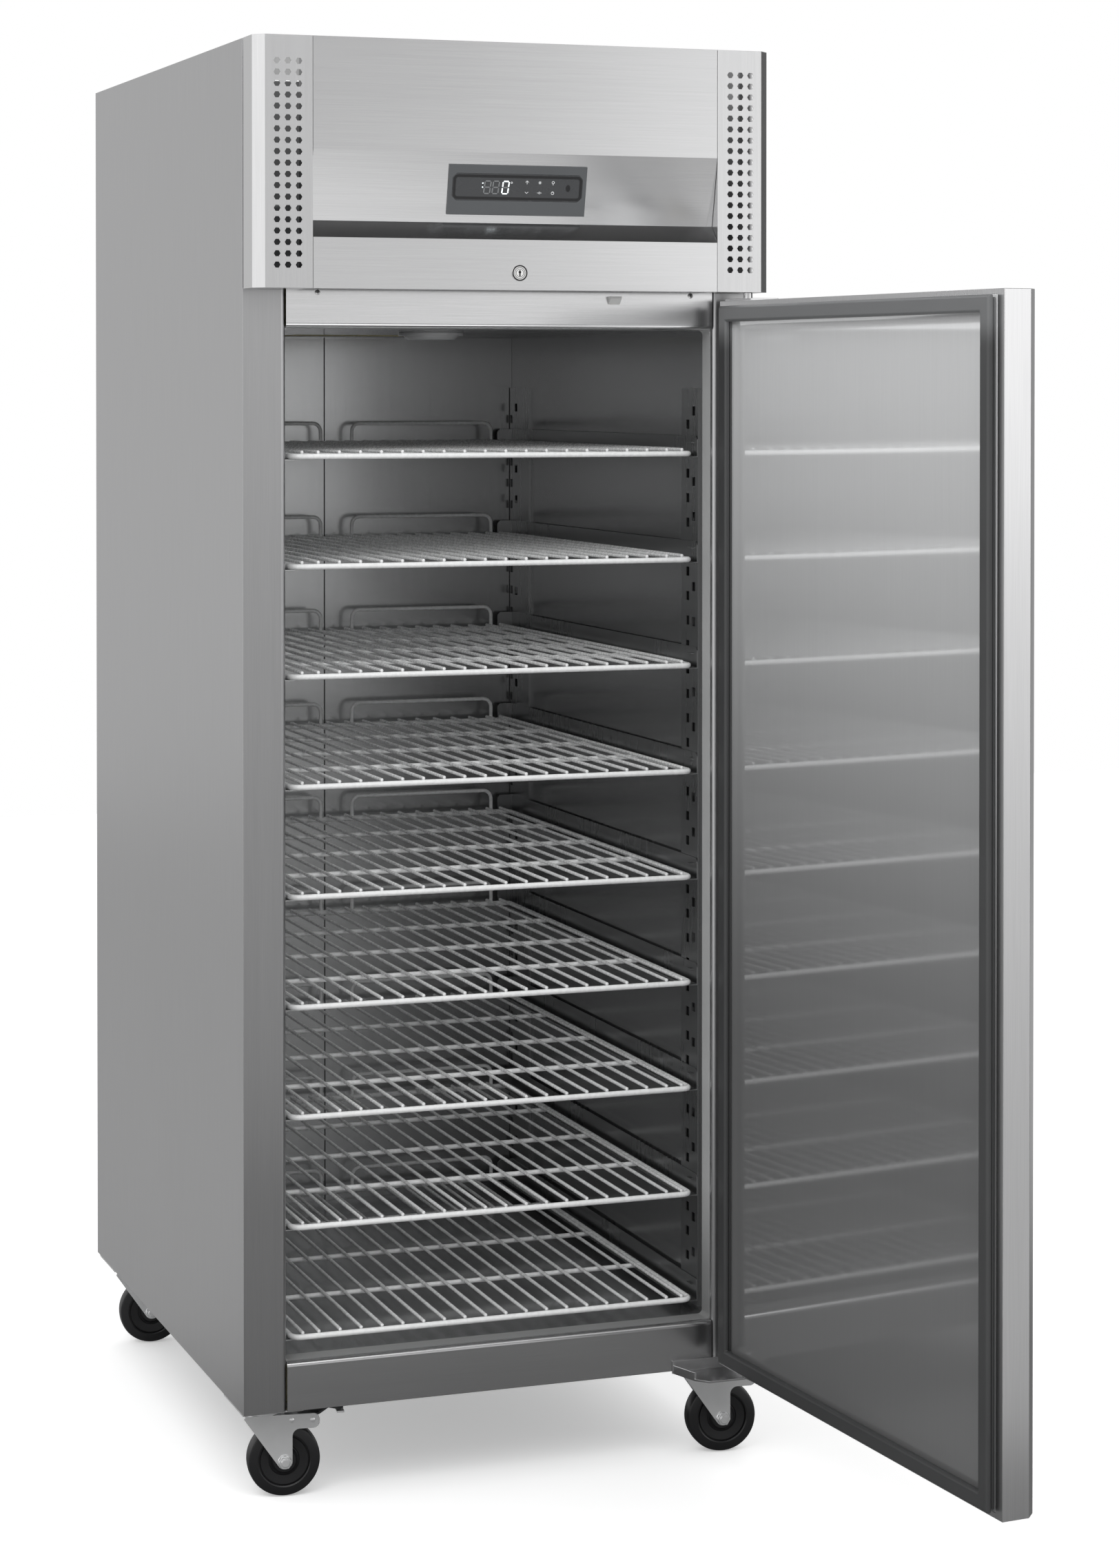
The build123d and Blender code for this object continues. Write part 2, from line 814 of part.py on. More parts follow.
def gasket():
    """A square-cornered seal with a narrow root and a wide bulb."""
    reach = door_gap - seat_gap
    w = gasket_width
    section = Polyline(
        (3, 0),
        (w - 3, 0),
        (w - 3, 3),
        (w - 6, 4.5),
        (w, 6),
        (w, reach - 2.5),
        (w - 2.5, reach),
        (2.5, reach),
        (0, reach - 2.5),
        (0, 6),
        (6, 4.5),
        (3, 3),
        close=True,
    )
    corners = [
        (window_x0, door_inner, window_z0),
        (window_x1, door_inner, window_z0),
        (window_x1, door_inner, window_z1),
        (window_x0, door_inner, window_z1),
    ]
    path = Polyline(*corners, close=True)
    middle = (window_x0 + window_x1) / 2
    plane = Plane((middle, door_inner, window_z0), x_dir=(0, 0, 1), z_dir=(-1, 0, 0))
    return sweep(plane * make_face(section), path=path, transition=Transition.RIGHT)


save("door_gasket", swing * gasket())
upper = block(bracket_x0, bracket_x1, bracket_y0, bracket_y1, door_top, door_top + bracket_thickness)
upper += rod(pivot_x, pivot_y, door_top, collar_radius, door_top_gap - seat_gap)
upper += rod(pivot_x, pivot_y, door_top, pin_radius, door_top_gap + skin + plate_thickness + 2)
bush = block(bracket_x0, bracket_x1, bracket_y0, bracket_y1, door_z - bracket_thickness, door_z)
bush -= rod(pivot_x, pivot_y, door_z - 2 * bracket_thickness, pin_radius + running_fit, 20)
save("door_hinge_brackets", swing * upper, swing * bush)

# Machine deck over the foam, with the cold air passage through it.
deck = block(-side_x + skin, side_x - skin, stile_y + skin, foam_back, deck_z, floor_of_deck)
save("machine_deck", deck - passage)


def fan(x, y, z, radius, hub_radius, depth, blade_count, direction):
    """A fan whose hub starts at the given point and runs along a direction."""
    blade = Pos(radius / 2, 0, depth / 2) * Rot(35, 0, 0) * Box(radius, radius / 2, 1.5)
    blades = [Rot(0, 0, 360 / blade_count * i) * blade for i in range(blade_count)]
    rim = Cylinder(radius, depth, align=(Align.CENTER, Align.CENTER, Align.MIN))
    hub = Cylinder(hub_radius, depth, align=(Align.CENTER, Align.CENTER, Align.MIN))
    shape = (Part() + blades) & rim
    return Plane((x, y, z), z_dir=direction) * (shape + hub)


def finned_coil(x0, x1, y0, y1, z0, z1, fin_pitch, rows):
    """A comb of fins on a core as thick as the tubes, whose bends stand out at both ends."""
    middle = (y0 + y1) / 2
    count = int((x1 - x0) / fin_pitch)
    first = (x0 + x1 - fin_pitch * (count - 1) - fin_sheet) / 2
    fin = Pos(first, middle) * Rectangle(fin_sheet, y1 - y0, align=(Align.MIN, Align.CENTER))
    fins = [Pos(fin_pitch * i, 0) * fin for i in range(count)]
    last = first + fin_pitch * (count - 1) + fin_sheet
    core = Pos((first + last) / 2, middle) * Rectangle(last - first, 2 * tube_radius)
    shape = Pos(0, 0, z0) * extrude(core + fins, z1 - z0)
    for i in range(rows):
        z = z0 + (z1 - z0) * (i + 0.5) / rows
        bend = Pos(0, middle, z) * Box(
            bend_reach, 2 * tube_radius, 2 * tube_radius, align=(Align.MIN, Align.CENTER, Align.CENTER)
        )
        shape += [Pos(first - bend_reach, 0, 0) * bend, Pos(last, 0, 0) * bend]
    return shape


# Evaporator: an insulated box at the back, with its coil and a fan over the passage.
evaporator_y = stile_y + evaporator_start
evaporator_top = top_z - evaporator_clear
housing_half = panel_half - 10
box = block(-housing_half, housing_half, evaporator_y, inner_back, floor_of_deck, evaporator_top)
box -= block(
    -housing_half + evaporator_wall,
    housing_half - evaporator_wall,
    evaporator_y + evaporator_wall,
    inner_back - evaporator_wall,
    floor_of_deck - 1,
    evaporator_top - evaporator_wall,
)
passage_y = inner_back - evaporator_wall - evaporator_clear - passage_depth / 2
fan_z = floor_of_deck + 18
motor_z = fan_z + 30
strip_z = motor_z + motor_depth
strip_half = passage_width / 2 + bracket_reach
strip_back = passage_y + bracket_reach
strip_front = passage_y - bracket_reach
bridge = block(-strip_half, strip_half, strip_front, strip_back, strip_z, strip_z + bracket_strip)
leg = block(
    -strip_half, bracket_strip - strip_half, strip_front, strip_back, floor_of_deck, strip_z
)
bridge += [leg, mirrored(leg)]
bridge += rod(0, passage_y, motor_z + seat_gap, motor_radius, motor_depth - seat_gap)
save("evaporator_housing", box, bridge)
save("evaporator_fan", fan(0, passage_y, fan_z, fan_radius, 26, 30, 5, (0, 0, 1)))
coil_half = housing_half - evaporator_wall - evaporator_coil_gap
evaporator_coil = finned_coil(
    -coil_half,
    coil_half,
    passage_y - evaporator_coil_depth / 2,
    passage_y + evaporator_coil_depth / 2,
    strip_z + bracket_strip + evaporator_clear,
    evaporator_top - evaporator_wall,
    evaporator_fin_pitch,
    evaporator_rows,
)
save("evaporator_coil", evaporator_coil)

# Condenser: a coil behind the service panel, then its shroud, fan and motor.
condenser_y = stile_y + condenser_setback
condenser_top = floor_of_deck + condenser_height
condenser = finned_coil(
    -condenser_half,
    condenser_half,
    condenser_y,
    condenser_y + condenser_depth,
    floor_of_deck,
    condenser_top,
    condenser_fin_pitch,
    condenser_rows,
)
save("condenser_coil", condenser)
shroud_y = condenser_y + condenser_depth
shroud_back = shroud_y + shroud_depth
fan_centre = floor_of_deck + condenser_height / 2
shroud = block(-condenser_half, condenser_half, shroud_y, shroud_back, floor_of_deck, condenser_top)
shroud -= block(
    -condenser_half + skin,
    condenser_half - skin,
    shroud_y - 1,
    shroud_back - skin,
    floor_of_deck + skin,
    condenser_top - skin,
)
shroud -= along_depth(0, shroud_y, fan_centre, fan_radius + fan_clear, 2 * shroud_depth)
motor_y = shroud_back + 12
arm_half = fan_radius + bracket_reach
arm_y = motor_y + motor_depth
arm_low = fan_centre - 12
arm_high = fan_centre + 12
arm = block(-arm_half, arm_half, arm_y, arm_y + bracket_strip, arm_low, arm_high)
leg = block(-arm_half, bracket_strip - arm_half, shroud_back, arm_y, arm_low, arm_high)
arm += [leg, mirrored(leg)]
arm += along_depth(0, motor_y + seat_gap, fan_centre, motor_radius, motor_depth - seat_gap)
save("condenser_shroud", shroud, arm)
blade_start = shroud_y + 20
blade_depth = motor_y - blade_start
save("condenser_fan", fan(0, blade_start, fan_centre, fan_radius, 24, blade_depth, 5, (0, 1, 0)))

# Compressor on its foot plate, the electrical box, and the pipes that join them.
compressor_y = stile_y + compressor_setback
foot_z = floor_of_deck + buffer_height
dome = Polyline(
    (0, foot_z + 3),
    (compressor_radius - 12, foot_z + 3),
    (compressor_radius, foot_z + 15),
    (compressor_radius, foot_z + compressor_height - 42),
    (compressor_radius - 20, foot_z + compressor_height - 12),
    (compressor_radius - 48, foot_z + compressor_height + 3),
    (0, foot_z + compressor_height + 3),
    close=True,
)
shell = Pos(compressor_x, compressor_y, 0) * revolve(make_face(Plane.XZ * dome), Axis.Z)
weld = rod(compressor_x, compressor_y, foot_z + compressor_height * 0.45, compressor_radius + 3, 6)
base = block(
    compressor_x - 90, compressor_x + 90, compressor_y - 60, compressor_y + 60, foot_z, foot_z + 3
)
buffer = rod(compressor_x, compressor_y, floor_of_deck, 9, buffer_height)
buffers = [Pos(dx, dy, 0) * buffer for dx in (-78, 78) for dy in (-48, 48)]
save("compressor", shell + weld + base, *buffers)
electrical_y = stile_y + electrical_setback
electrical = block(
    electrical_x,
    electrical_x + electrical_width,
    electrical_y,
    electrical_y + electrical_depth,
    floor_of_deck,
    floor_of_deck + electrical_height,
)
electrical = chamfer(electrical.edges().group_by(Axis.Z)[-1], 4)
save("electrical_box", electrical)
inlet = along_depth(inlet_x, back_y - skin, inlet_z, inlet_radius + 2, 1)
inlet += along_depth(inlet_x, foam_back - 15, inlet_z, inlet_radius, 16)
inlet -= along_depth(inlet_x, foam_back - 16, inlet_z, inlet_radius - 5, 60)
save("mains_inlet", inlet)


def pipe(points, thickness):
    path = Polyline(*points)
    direction = path % 0
    across = (0, 1, 0) if abs(direction.Y) < 0.5 else (0, 0, 1)
    plane = Plane(origin=path @ 0, x_dir=across, z_dir=direction)
    return sweep(plane * RegularPolygon(thickness / 2, 6), path=path, transition=Transition.RIGHT)


pipe_z = foot_z + 3 + compressor_height * 0.7
tube_y = condenser_y + condenser_depth / 2
discharge = pipe(
    [
        (compressor_x + compressor_radius, compressor_y, pipe_z),
        (compressor_x + compressor_radius + 40, compressor_y, pipe_z),
        (compressor_x + compressor_radius + 40, tube_y, pipe_z),
        (condenser_half + 8, tube_y, pipe_z),
    ],
    8,
)
suction = pipe(
    [
        (compressor_x, compressor_y + compressor_radius, pipe_z),
        (compressor_x, evaporator_y, pipe_z),
    ],
    10,
)
save("refrigerant_pipes", discharge, suction)


# Casters: a plate with its swivel race, a pressed fork, a wheel on a bolt, and a brake pedal in front.
wheel_radius = wheel_diameter / 2
crown_top = caster_height - crown_drop
leg_inner = fork_gap / 2
leg_outer = leg_inner + fork_sheet
hub_half = leg_inner - seat_gap


def across_wheel(outline, y0, y1):
    """Extrudes an outline drawn along the trail and up, from y0 to y1."""
    return extrude(Plane((0, y1, 0), x_dir=(1, 0, 0), z_dir=(0, -1, 0)) * outline, y1 - y0)


def caster_plate(long_x, long_y):
    plate = Pos(0, 0, caster_height) * Box(
        long_x, long_y, plate_thickness, align=(Align.CENTER, Align.CENTER, Align.MAX)
    )
    race_z = crown_top + seat_gap
    plate += rod(0, 0, race_z, race_radius, caster_height - race_z - 1)
    head_z = crown_top - fork_sheet - seat_gap
    plate += rod(0, 0, head_z - 3, kingpin_radius, race_z - head_z + 4)
    head = RegularPolygon(kingpin_radius + 3, 6, major_radius=False)
    return plate + Pos(0, 0, head_z - 3) * extrude(head, 3)


def leg_outline(braked):
    """A leg that tapers from the crown to a round foot, with an ear for the brake."""
    foot = Pos(trail, wheel_radius) * Circle(foot_radius)
    nose = Polyline((trail - nose_reach, crown_top - 3), (trail - nose_reach + 2, crown_top))
    shoulder = Polyline((trail + leg_reach, crown_top), (trail + leg_reach, crown_top - ear_height))
    shape = Sketch() + make_hull(foot.edges() + nose.edges() + shoulder.edges())
    if not braked:
        return shape
    ear = Pos(trail + ear_reach / 2, crown_top - ear_height / 2) * Rectangle(ear_reach, ear_height)
    corners = ear.vertices().group_by(Axis.X)[-1]
    shape += fillet(corners, ear_height / 2 - 1)
    inner_corner = shape.vertices().sort_by_distance((trail + leg_reach, crown_top - ear_height))[0]
    return fillet(inner_corner, ear_height / 2)


def fork(braked):
    leg = leg_outline(braked)
    shape = across_wheel(leg, leg_inner, leg_outer) + across_wheel(leg, -leg_outer, -leg_inner)
    shape += block(
        trail - nose_reach + 2, race_radius + 3, -leg_outer, leg_outer, crown_top - fork_sheet, crown_top
    )
    shape -= rod(0, 0, 0, kingpin_radius + running_fit, caster_height)
    return shape + axle()


def axle():
    """The wheel's bolt with its head and nut, each flat against a leg."""
    bolt = Pos(trail, wheel_radius) * Circle(axle_radius)
    nut = Pos(trail, wheel_radius) * RegularPolygon(nut_width / 2, 6, major_radius=False)
    shape = across_wheel(bolt, -leg_outer - nut_height - 2, leg_inner)
    shape += across_wheel(nut, leg_outer, leg_outer + nut_height)
    return shape + across_wheel(nut, -leg_outer - nut_height, -leg_outer)


def wheel():
    """A rubber-tyred wheel turned about its axle: tread, recessed web and hub."""
    bore = axle_radius + running_fit
    rim = wheel_radius - tyre_depth
    profile = Polyline(
        (bore, hub_half),
        (hub_radius, hub_half),
        (hub_radius, web_half),
        (rim, wheel_width / 2),
        (wheel_radius, tread_width / 2),
        (wheel_radius, -tread_width / 2),
        (rim, -wheel_width / 2),
        (hub_radius, -web_half),
        (hub_radius, -hub_half),
        (bore, -hub_half),
        close=True,
    )
    turned = revolve(make_face(profile), Axis.Y)
    return Pos(trail, 0, wheel_radius) * turned


pedal_x = trail + ear_reach - ear_height / 2
pedal_z = crown_top - ear_height / 2 + 1


def pedal():
    """A sheet lever on a pin through the fork's ears, with a rounded outer lip."""
    path = FilletPolyline(
        (pedal_x - 14, pedal_z - 4),
        (pedal_x, pedal_z + 5),
        (pedal_x + 10, pedal_z + 6),
        (pedal_x + 22, pedal_z + 14),
        (pedal_x + 36, pedal_z + 11),
        (pedal_x + 43, pedal_z + 13),
        radius=3,
    )
    half = leg_inner - 1.5
    shape = across_wheel(sheet_outline(path, pedal_sheet), -half, half)
    boss = Pos(pedal_x, pedal_z) * Circle(pedal_pin_radius + 3)
    shape += across_wheel(boss, -half, half)
    return shape - across_wheel(Pos(pedal_x, pedal_z) * Circle(pedal_pin_radius + running_fit), -50, 50)


def pedal_pin():
    return across_wheel(Pos(pedal_x, pedal_z) * Circle(pedal_pin_radius), -leg_inner, leg_inner)


caster_places = {
    "front_left": (-side_x + caster_inset, stile_y + caster_setback, plate_width, plate_length),
    "front_right": (side_x - hinge_caster_inset, stile_y + hinge_caster_setback, plate_length, plate_width),
    "rear_left": (-side_x + caster_inset, back_y - caster_setback, plate_width, plate_length),
    "rear_right": (side_x - caster_inset, back_y - caster_setback, plate_width, plate_length),
}
plates = []
rolling_wheel = wheel()
for place, (x, y, long_x, long_y) in caster_places.items():
    spot = Pos(x, y, 0)
    turned = spot * Rot(0, 0, heading)
    braked = place.startswith("front")
    plates.append(spot * caster_plate(long_x, long_y))
    shape = fork(braked)
    if braked:
        shape += pedal_pin()
        save(f"brake_pedal_{place}", turned * pedal())
    save(f"caster_fork_{place}", turned * shape)
    save(f"caster_wheel_{place}", turned * rolling_wheel)
save("caster_plates", *plates)
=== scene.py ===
"""Looks of an upright one-door freezer with its door standing open.

Metres. +Z is up, and the door side looks to -Y.
"""

import json
from math import cos, pi, radians, sin

import bpy
from mathutils import Matrix, Vector

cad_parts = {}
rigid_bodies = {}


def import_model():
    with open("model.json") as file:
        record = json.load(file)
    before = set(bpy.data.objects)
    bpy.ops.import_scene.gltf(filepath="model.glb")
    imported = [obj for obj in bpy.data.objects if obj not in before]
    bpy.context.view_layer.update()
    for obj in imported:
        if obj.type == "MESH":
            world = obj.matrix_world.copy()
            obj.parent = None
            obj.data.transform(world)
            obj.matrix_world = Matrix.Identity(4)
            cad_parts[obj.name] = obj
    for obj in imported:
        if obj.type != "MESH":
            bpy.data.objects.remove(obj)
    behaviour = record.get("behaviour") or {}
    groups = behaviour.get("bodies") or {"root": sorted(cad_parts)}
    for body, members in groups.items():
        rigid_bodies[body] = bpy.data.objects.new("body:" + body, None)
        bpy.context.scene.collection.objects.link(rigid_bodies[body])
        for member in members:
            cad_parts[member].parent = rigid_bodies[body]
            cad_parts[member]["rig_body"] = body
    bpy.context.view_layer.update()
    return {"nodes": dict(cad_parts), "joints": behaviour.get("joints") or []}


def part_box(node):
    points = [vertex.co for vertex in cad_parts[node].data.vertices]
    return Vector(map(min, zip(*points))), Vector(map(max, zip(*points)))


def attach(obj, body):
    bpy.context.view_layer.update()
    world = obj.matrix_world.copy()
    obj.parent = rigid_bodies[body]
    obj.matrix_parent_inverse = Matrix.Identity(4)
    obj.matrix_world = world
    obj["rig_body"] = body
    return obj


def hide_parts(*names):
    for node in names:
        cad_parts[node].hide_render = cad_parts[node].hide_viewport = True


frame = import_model()


# Camera: it stands to the left of the door side at chest height and looks level, so uprights stay upright.
# The lens is shifted down, because the cabinet fills the frame below the horizon.
photo_height = 2275
sensor = 36
focal_length = 4955.8 * sensor / photo_height
horizon_row = 624
camera_turn = radians(19.855)
camera_dip = radians(0.778)
camera_place = (-1.5236, -4.8738, 1.5179)
bpy.ops.object.select_all(action="DESELECT")
bpy.ops.object.camera_add(location=camera_place, rotation=(pi / 2 - camera_dip, 0, -camera_turn))
camera = bpy.context.object
camera.data.sensor_width = sensor
camera.data.lens = focal_length
camera.data.shift_y = (horizon_row - photo_height / 2) / photo_height
bpy.context.scene.camera = camera
bpy.context.scene.view_settings.view_transform = "Standard"


# Studio: a pale floor that ends a little ahead of the cabinet, and a white backdrop behind it.
# Metal sees the white backdrop behind and to the left, and a dimmer room ahead that darkens downwards.
floor_front = -1.75
floor_back = 7
floor_half_width = 7
bpy.ops.mesh.primitive_plane_add(size=1, location=(0, (floor_front + floor_back) / 2, 0))
floor = bpy.context.object
floor.name = "studio_floor"
floor.scale = (2 * floor_half_width, floor_back - floor_front, 1)
bpy.ops.object.transform_apply(location=True, rotation=True, scale=True)


def new_material(name):
    """An empty node material with its shader and the tree to build in."""
    material = bpy.data.materials.new(name)
    material.use_nodes = True
    tree = material.node_tree
    return material, tree, tree.nodes["Principled BSDF"]


def link(tree, source, target):
    """Joins an output socket to an input socket."""
    tree.links.new(source, target)


def tuned(tree, value, source_low, source_high, low, high, course="SMOOTHSTEP"):
    """Maps a value from one range to another."""
    node = tree.nodes.new("ShaderNodeMapRange")
    node.interpolation_type = course
    sockets = ("From Min", "From Max", "To Min", "To Max")
    for socket, number in zip(sockets, (source_low, source_high, low, high)):
        node.inputs[socket].default_value = number
    link(tree, value, node.inputs["Value"])
    return node.outputs["Result"]


def blended(tree, factor, first, second):
    """Mixes two numbers or sockets by a factor."""
    node = tree.nodes.new("ShaderNodeMix")
    link(tree, factor, node.inputs["Factor"])
    for socket, value in (("A", first), ("B", second)):
        if isinstance(value, (int, float)):
            node.inputs[socket].default_value = value
        else:
            link(tree, value, node.inputs[socket])
    return node.outputs["Result"]


def combined(tree, operation, first, second):
    """Adds, multiplies or otherwise joins two numbers or sockets."""
    node = tree.nodes.new("ShaderNodeMath")
    node.operation = operation
    for socket, value in zip(node.inputs, (first, second)):
        if isinstance(value, (int, float)):
            socket.default_value = value
        else:
            link(tree, value, socket)
    return node.outputs["Value"]


floor_tone = 0.9
front_tone_in_metal = 0.17
rear_tone_in_metal = 0.5
bounce_tone = 0.45
floor_lift = 0.36
floor_finish, tree, shader = new_material("pale_floor")
shader.inputs["Roughness"].default_value = 0.7
shader.inputs["Specular IOR Level"].default_value = 0.1
shader.inputs["Emission Color"].default_value = (1, 1, 1, 1)
floor_rays = tree.nodes.new("ShaderNodeLightPath").outputs
cloud = tree.nodes.new("ShaderNodeTexNoise")
cloud.inputs["Scale"].default_value = 1.5
cloudy = tuned(tree, cloud.outputs["Fac"], 0.3, 0.7, floor_tone - 0.01, floor_tone + 0.01)
floor_coords = tree.nodes.new("ShaderNodeTexCoord")
floor_axes = tree.nodes.new("ShaderNodeSeparateXYZ")
link(tree, floor_coords.outputs["Object"], floor_axes.inputs["Vector"])
in_metal = tuned(tree, floor_axes.outputs["Y"], -0.4, 0.3, front_tone_in_metal, rear_tone_in_metal)
seen_tone = blended(tree, floor_rays["Is Glossy Ray"], cloudy, in_metal)
seen_tone = blended(tree, floor_rays["Is Diffuse Ray"], seen_tone, bounce_tone)
grey = tree.nodes.new("ShaderNodeCombineColor")
for channel in ("Red", "Green", "Blue"):
    link(tree, seen_tone, grey.inputs[channel])
link(tree, grey.outputs["Color"], shader.inputs["Base Color"])
lift = combined(tree, "MULTIPLY", floor_rays["Is Camera Ray"], floor_lift)
link(tree, lift, shader.inputs["Emission Strength"])
floor.data.materials.append(floor_finish)

world = bpy.data.worlds.new("studio")
bpy.context.scene.world = world
world.use_nodes = True
tree = world.node_tree
background = tree.nodes["Background"]
background.inputs["Color"].default_value = (1, 1, 1, 1)
world_coords = tree.nodes.new("ShaderNodeTexCoord")
world_axes = tree.nodes.new("ShaderNodeSeparateXYZ")
link(tree, world_coords.outputs["Generated"], world_axes.inputs["Vector"])
rightward, backward, upward = (world_axes.outputs[axis] for axis in "XYZ")
front = tuned(tree, upward, -0.22, 0.07, 0.2, 0.75)
front = combined(tree, "ADD", front, tuned(tree, upward, 0.0, 0.03, 0, 0.4))
front = combined(tree, "SUBTRACT", front, tuned(tree, upward, 0.03, 0.045, 0, 0.38))
front = combined(tree, "SUBTRACT", front, tuned(tree, upward, 0.05, 0.1, 0, 0.2))
low_glow = tuned(tree, upward, -0.38, -0.27, 1.2, 0)
low_glow = combined(tree, "MULTIPLY", low_glow, tuned(tree, rightward, 0.3, 0.36, 1, 0.75))
front = combined(tree, "ADD", front, low_glow)
right_glow = tuned(tree, upward, -0.3, 0.0, 0.42, 1.3)
front = blended(tree, tuned(tree, rightward, 0.42, 0.58, 0, 1), front, right_glow)
rear = tuned(tree, rightward, -0.27, -0.2, 0.68, 0.56)
room = blended(tree, tuned(tree, backward, -0.1, 0.35, 0, 1), front, rear)
room = blended(tree, tuned(tree, rightward, -0.55, -0.85, 0, 1), room, 1.15)
room = combined(tree, "MULTIPLY", room, tuned(tree, rightward, 0.78, 0.94, 1, 0.06))
room = combined(tree, "MULTIPLY", room, tuned(tree, upward, 0.3, 0.6, 1, 0.07))
world_rays = tree.nodes.new("ShaderNodeLightPath").outputs
soft_fill = tuned(tree, upward, -0.2, 0.7, 0.45, 1.05)
seen = blended(tree, world_rays["Is Glossy Ray"], soft_fill, room)
clear = combined(tree, "MAXIMUM", world_rays["Is Camera Ray"], world_rays["Is Transmission Ray"])
link(tree, blended(tree, clear, seen, 1), background.inputs["Strength"])


def soft_box(name, stand, target, width, height, power):
    """A large soft lamp turned towards a point."""
    turn = (Vector(target) - Vector(stand)).to_track_quat("-Z", "Y").to_euler()
    bpy.ops.object.light_add(type="AREA", location=stand, rotation=turn)
    lamp = bpy.context.object
    lamp.name = name
    lamp.data.shape = "RECTANGLE"
    lamp.data.size = width
    lamp.data.size_y = height
    lamp.data.energy = power


soft_box("left_soft_box", (-2.1, -2.5, 3.2), (0.3, -0.8, 1.5), 1.8, 1.8, 34)
soft_box("right_soft_box", (3.2, -4.6, 2.6), (0, -0.4, 1.0), 3.0, 3.0, 12)
soft_box("top_soft_box", (-0.2, -3.9, 4.2), (0, -0.4, 0.9), 3.4, 2.6, 45)


# Cabinet skin: brushed stainless sheets, folded so that the side sheets' front edges are the door stiles.
# The grain runs up the sides, and the back and bottom are plain galvanised sheet with a soft spangle.
def only(piece):
    """Selects one piece and nothing else."""
    bpy.ops.object.select_all(action="DESELECT")
    piece.select_set(True)
    bpy.context.view_layer.objects.active = piece


def apply_modifiers(piece):
    """Applies all modifiers of a piece in their order."""
    only(piece)
    for modifier in list(piece.modifiers):
        bpy.ops.object.modifier_apply(modifier=modifier.name)


def finish_piece(piece, body, material, smooth=35):
    """Gives a finished piece its material, shading and body."""
    only(piece)
    bpy.ops.object.shade_smooth_by_angle(angle=radians(smooth))
    flat_faces = piece.modifiers.new("flat_faces", "WEIGHTED_NORMAL")
    flat_faces.keep_sharp = True
    bpy.ops.object.modifier_apply(modifier=flat_faces.name)
    piece.data.materials.clear()
    piece.data.materials.append(material)
    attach(piece, body)
    return piece


def dressed(node, name, material, edge=0.0004, steps=2, smooth=35):
    """A copy of a CAD node with its flat faces joined and its edges eased, shown in the node's place."""
    piece = bpy.data.objects.new(name, frame["nodes"][node].data.copy())
    bpy.context.scene.collection.objects.link(piece)
    only(piece)
    bpy.ops.object.mode_set(mode="EDIT")
    bpy.ops.mesh.select_all(action="SELECT")
    bpy.ops.mesh.remove_doubles(threshold=0.00001)
    bpy.ops.mesh.dissolve_limited(angle_limit=radians(0.5))
    bpy.ops.object.mode_set(mode="OBJECT")
    if edge:
        rounding = piece.modifiers.new("eased_edges", "BEVEL")
        rounding.width = edge
        rounding.segments = steps
        rounding.limit_method = "ANGLE"
        rounding.angle_limit = radians(28)
        apply_modifiers(piece)
    finish_piece(piece, frame["nodes"][node]["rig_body"], material, smooth)
    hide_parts(node)
    return piece


grain_group = bpy.data.node_groups.new("sheet_grain", "ShaderNodeTree")
grain_sockets = grain_group.interface
grain_sockets.new_socket(name="Stretch", in_out="INPUT", socket_type="NodeSocketVector")
grain_sockets.new_socket(name="Cloud Scale", in_out="INPUT", socket_type="NodeSocketFloat")
for result in ("Grain", "Brush Marks", "Clouds"):
    grain_sockets.new_socket(name=result, in_out="OUTPUT", socket_type="NodeSocketFloat")
grain_inputs = grain_group.nodes.new("NodeGroupInput")
grain_results = grain_group.nodes.new("NodeGroupOutput")
grain_coords = grain_group.nodes.new("ShaderNodeTexCoord").outputs["Object"]
stretched = grain_group.nodes.new("ShaderNodeVectorMath")
stretched.operation = "MULTIPLY"
link(grain_group, grain_coords, stretched.inputs[0])
link(grain_group, grain_inputs.outputs["Stretch"], stretched.inputs[1])
fine = grain_group.nodes.new("ShaderNodeTexNoise")
fine.inputs["Scale"].default_value = 1
fine.inputs["Detail"].default_value = 4
fine.inputs["Roughness"].default_value = 0.65
link(grain_group, stretched.outputs["Vector"], fine.inputs["Vector"])
link(grain_group, fine.outputs["Fac"], grain_results.inputs["Grain"])
marks = grain_group.nodes.new("ShaderNodeTexNoise")
marks.inputs["Scale"].default_value = 0.12
marks.inputs["Detail"].default_value = 2
link(grain_group, stretched.outputs["Vector"], marks.inputs["Vector"])
link(grain_group, marks.outputs["Fac"], grain_results.inputs["Brush Marks"])
clouds = grain_group.nodes.new("ShaderNodeTexNoise")
clouds.inputs["Detail"].default_value = 3
link(grain_group, grain_coords, clouds.inputs["Vector"])
link(grain_group, grain_inputs.outputs["Cloud Scale"], clouds.inputs["Scale"])
link(grain_group, clouds.outputs["Fac"], grain_results.inputs["Clouds"])


def spread(tree, value, low, high, source_low=0.3, source_high=0.7):
    """Maps the middle of a noise value straight to a range."""
    return tuned(tree, value, source_low, source_high, low, high, course="LINEAR")


def noise(tree, scale, detail=2.0):
    """A noise value that stays with the object, and the larger its scale the finer it is."""
    coords = tree.nodes.new("ShaderNodeTexCoord")
    texture = tree.nodes.new("ShaderNodeTexNoise")
    texture.inputs["Scale"].default_value = scale
    texture.inputs["Detail"].default_value = detail
    link(tree, coords.outputs["Object"], texture.inputs["Vector"])
    return texture.outputs["Fac"]


def toned(tree, colour, value, contrast):
    """A colour that a 0 to 1 value makes darker or lighter by the contrast."""
    node = tree.nodes.new("ShaderNodeMix")
    node.data_type = "RGBA"
    node.inputs["A"].default_value = (*[c * (1 - contrast) for c in colour], 1)
    node.inputs["B"].default_value = (*[min(1, c * (1 + contrast)) for c in colour], 1)
    link(tree, value, node.inputs["Factor"])
    return node.outputs["Result"]


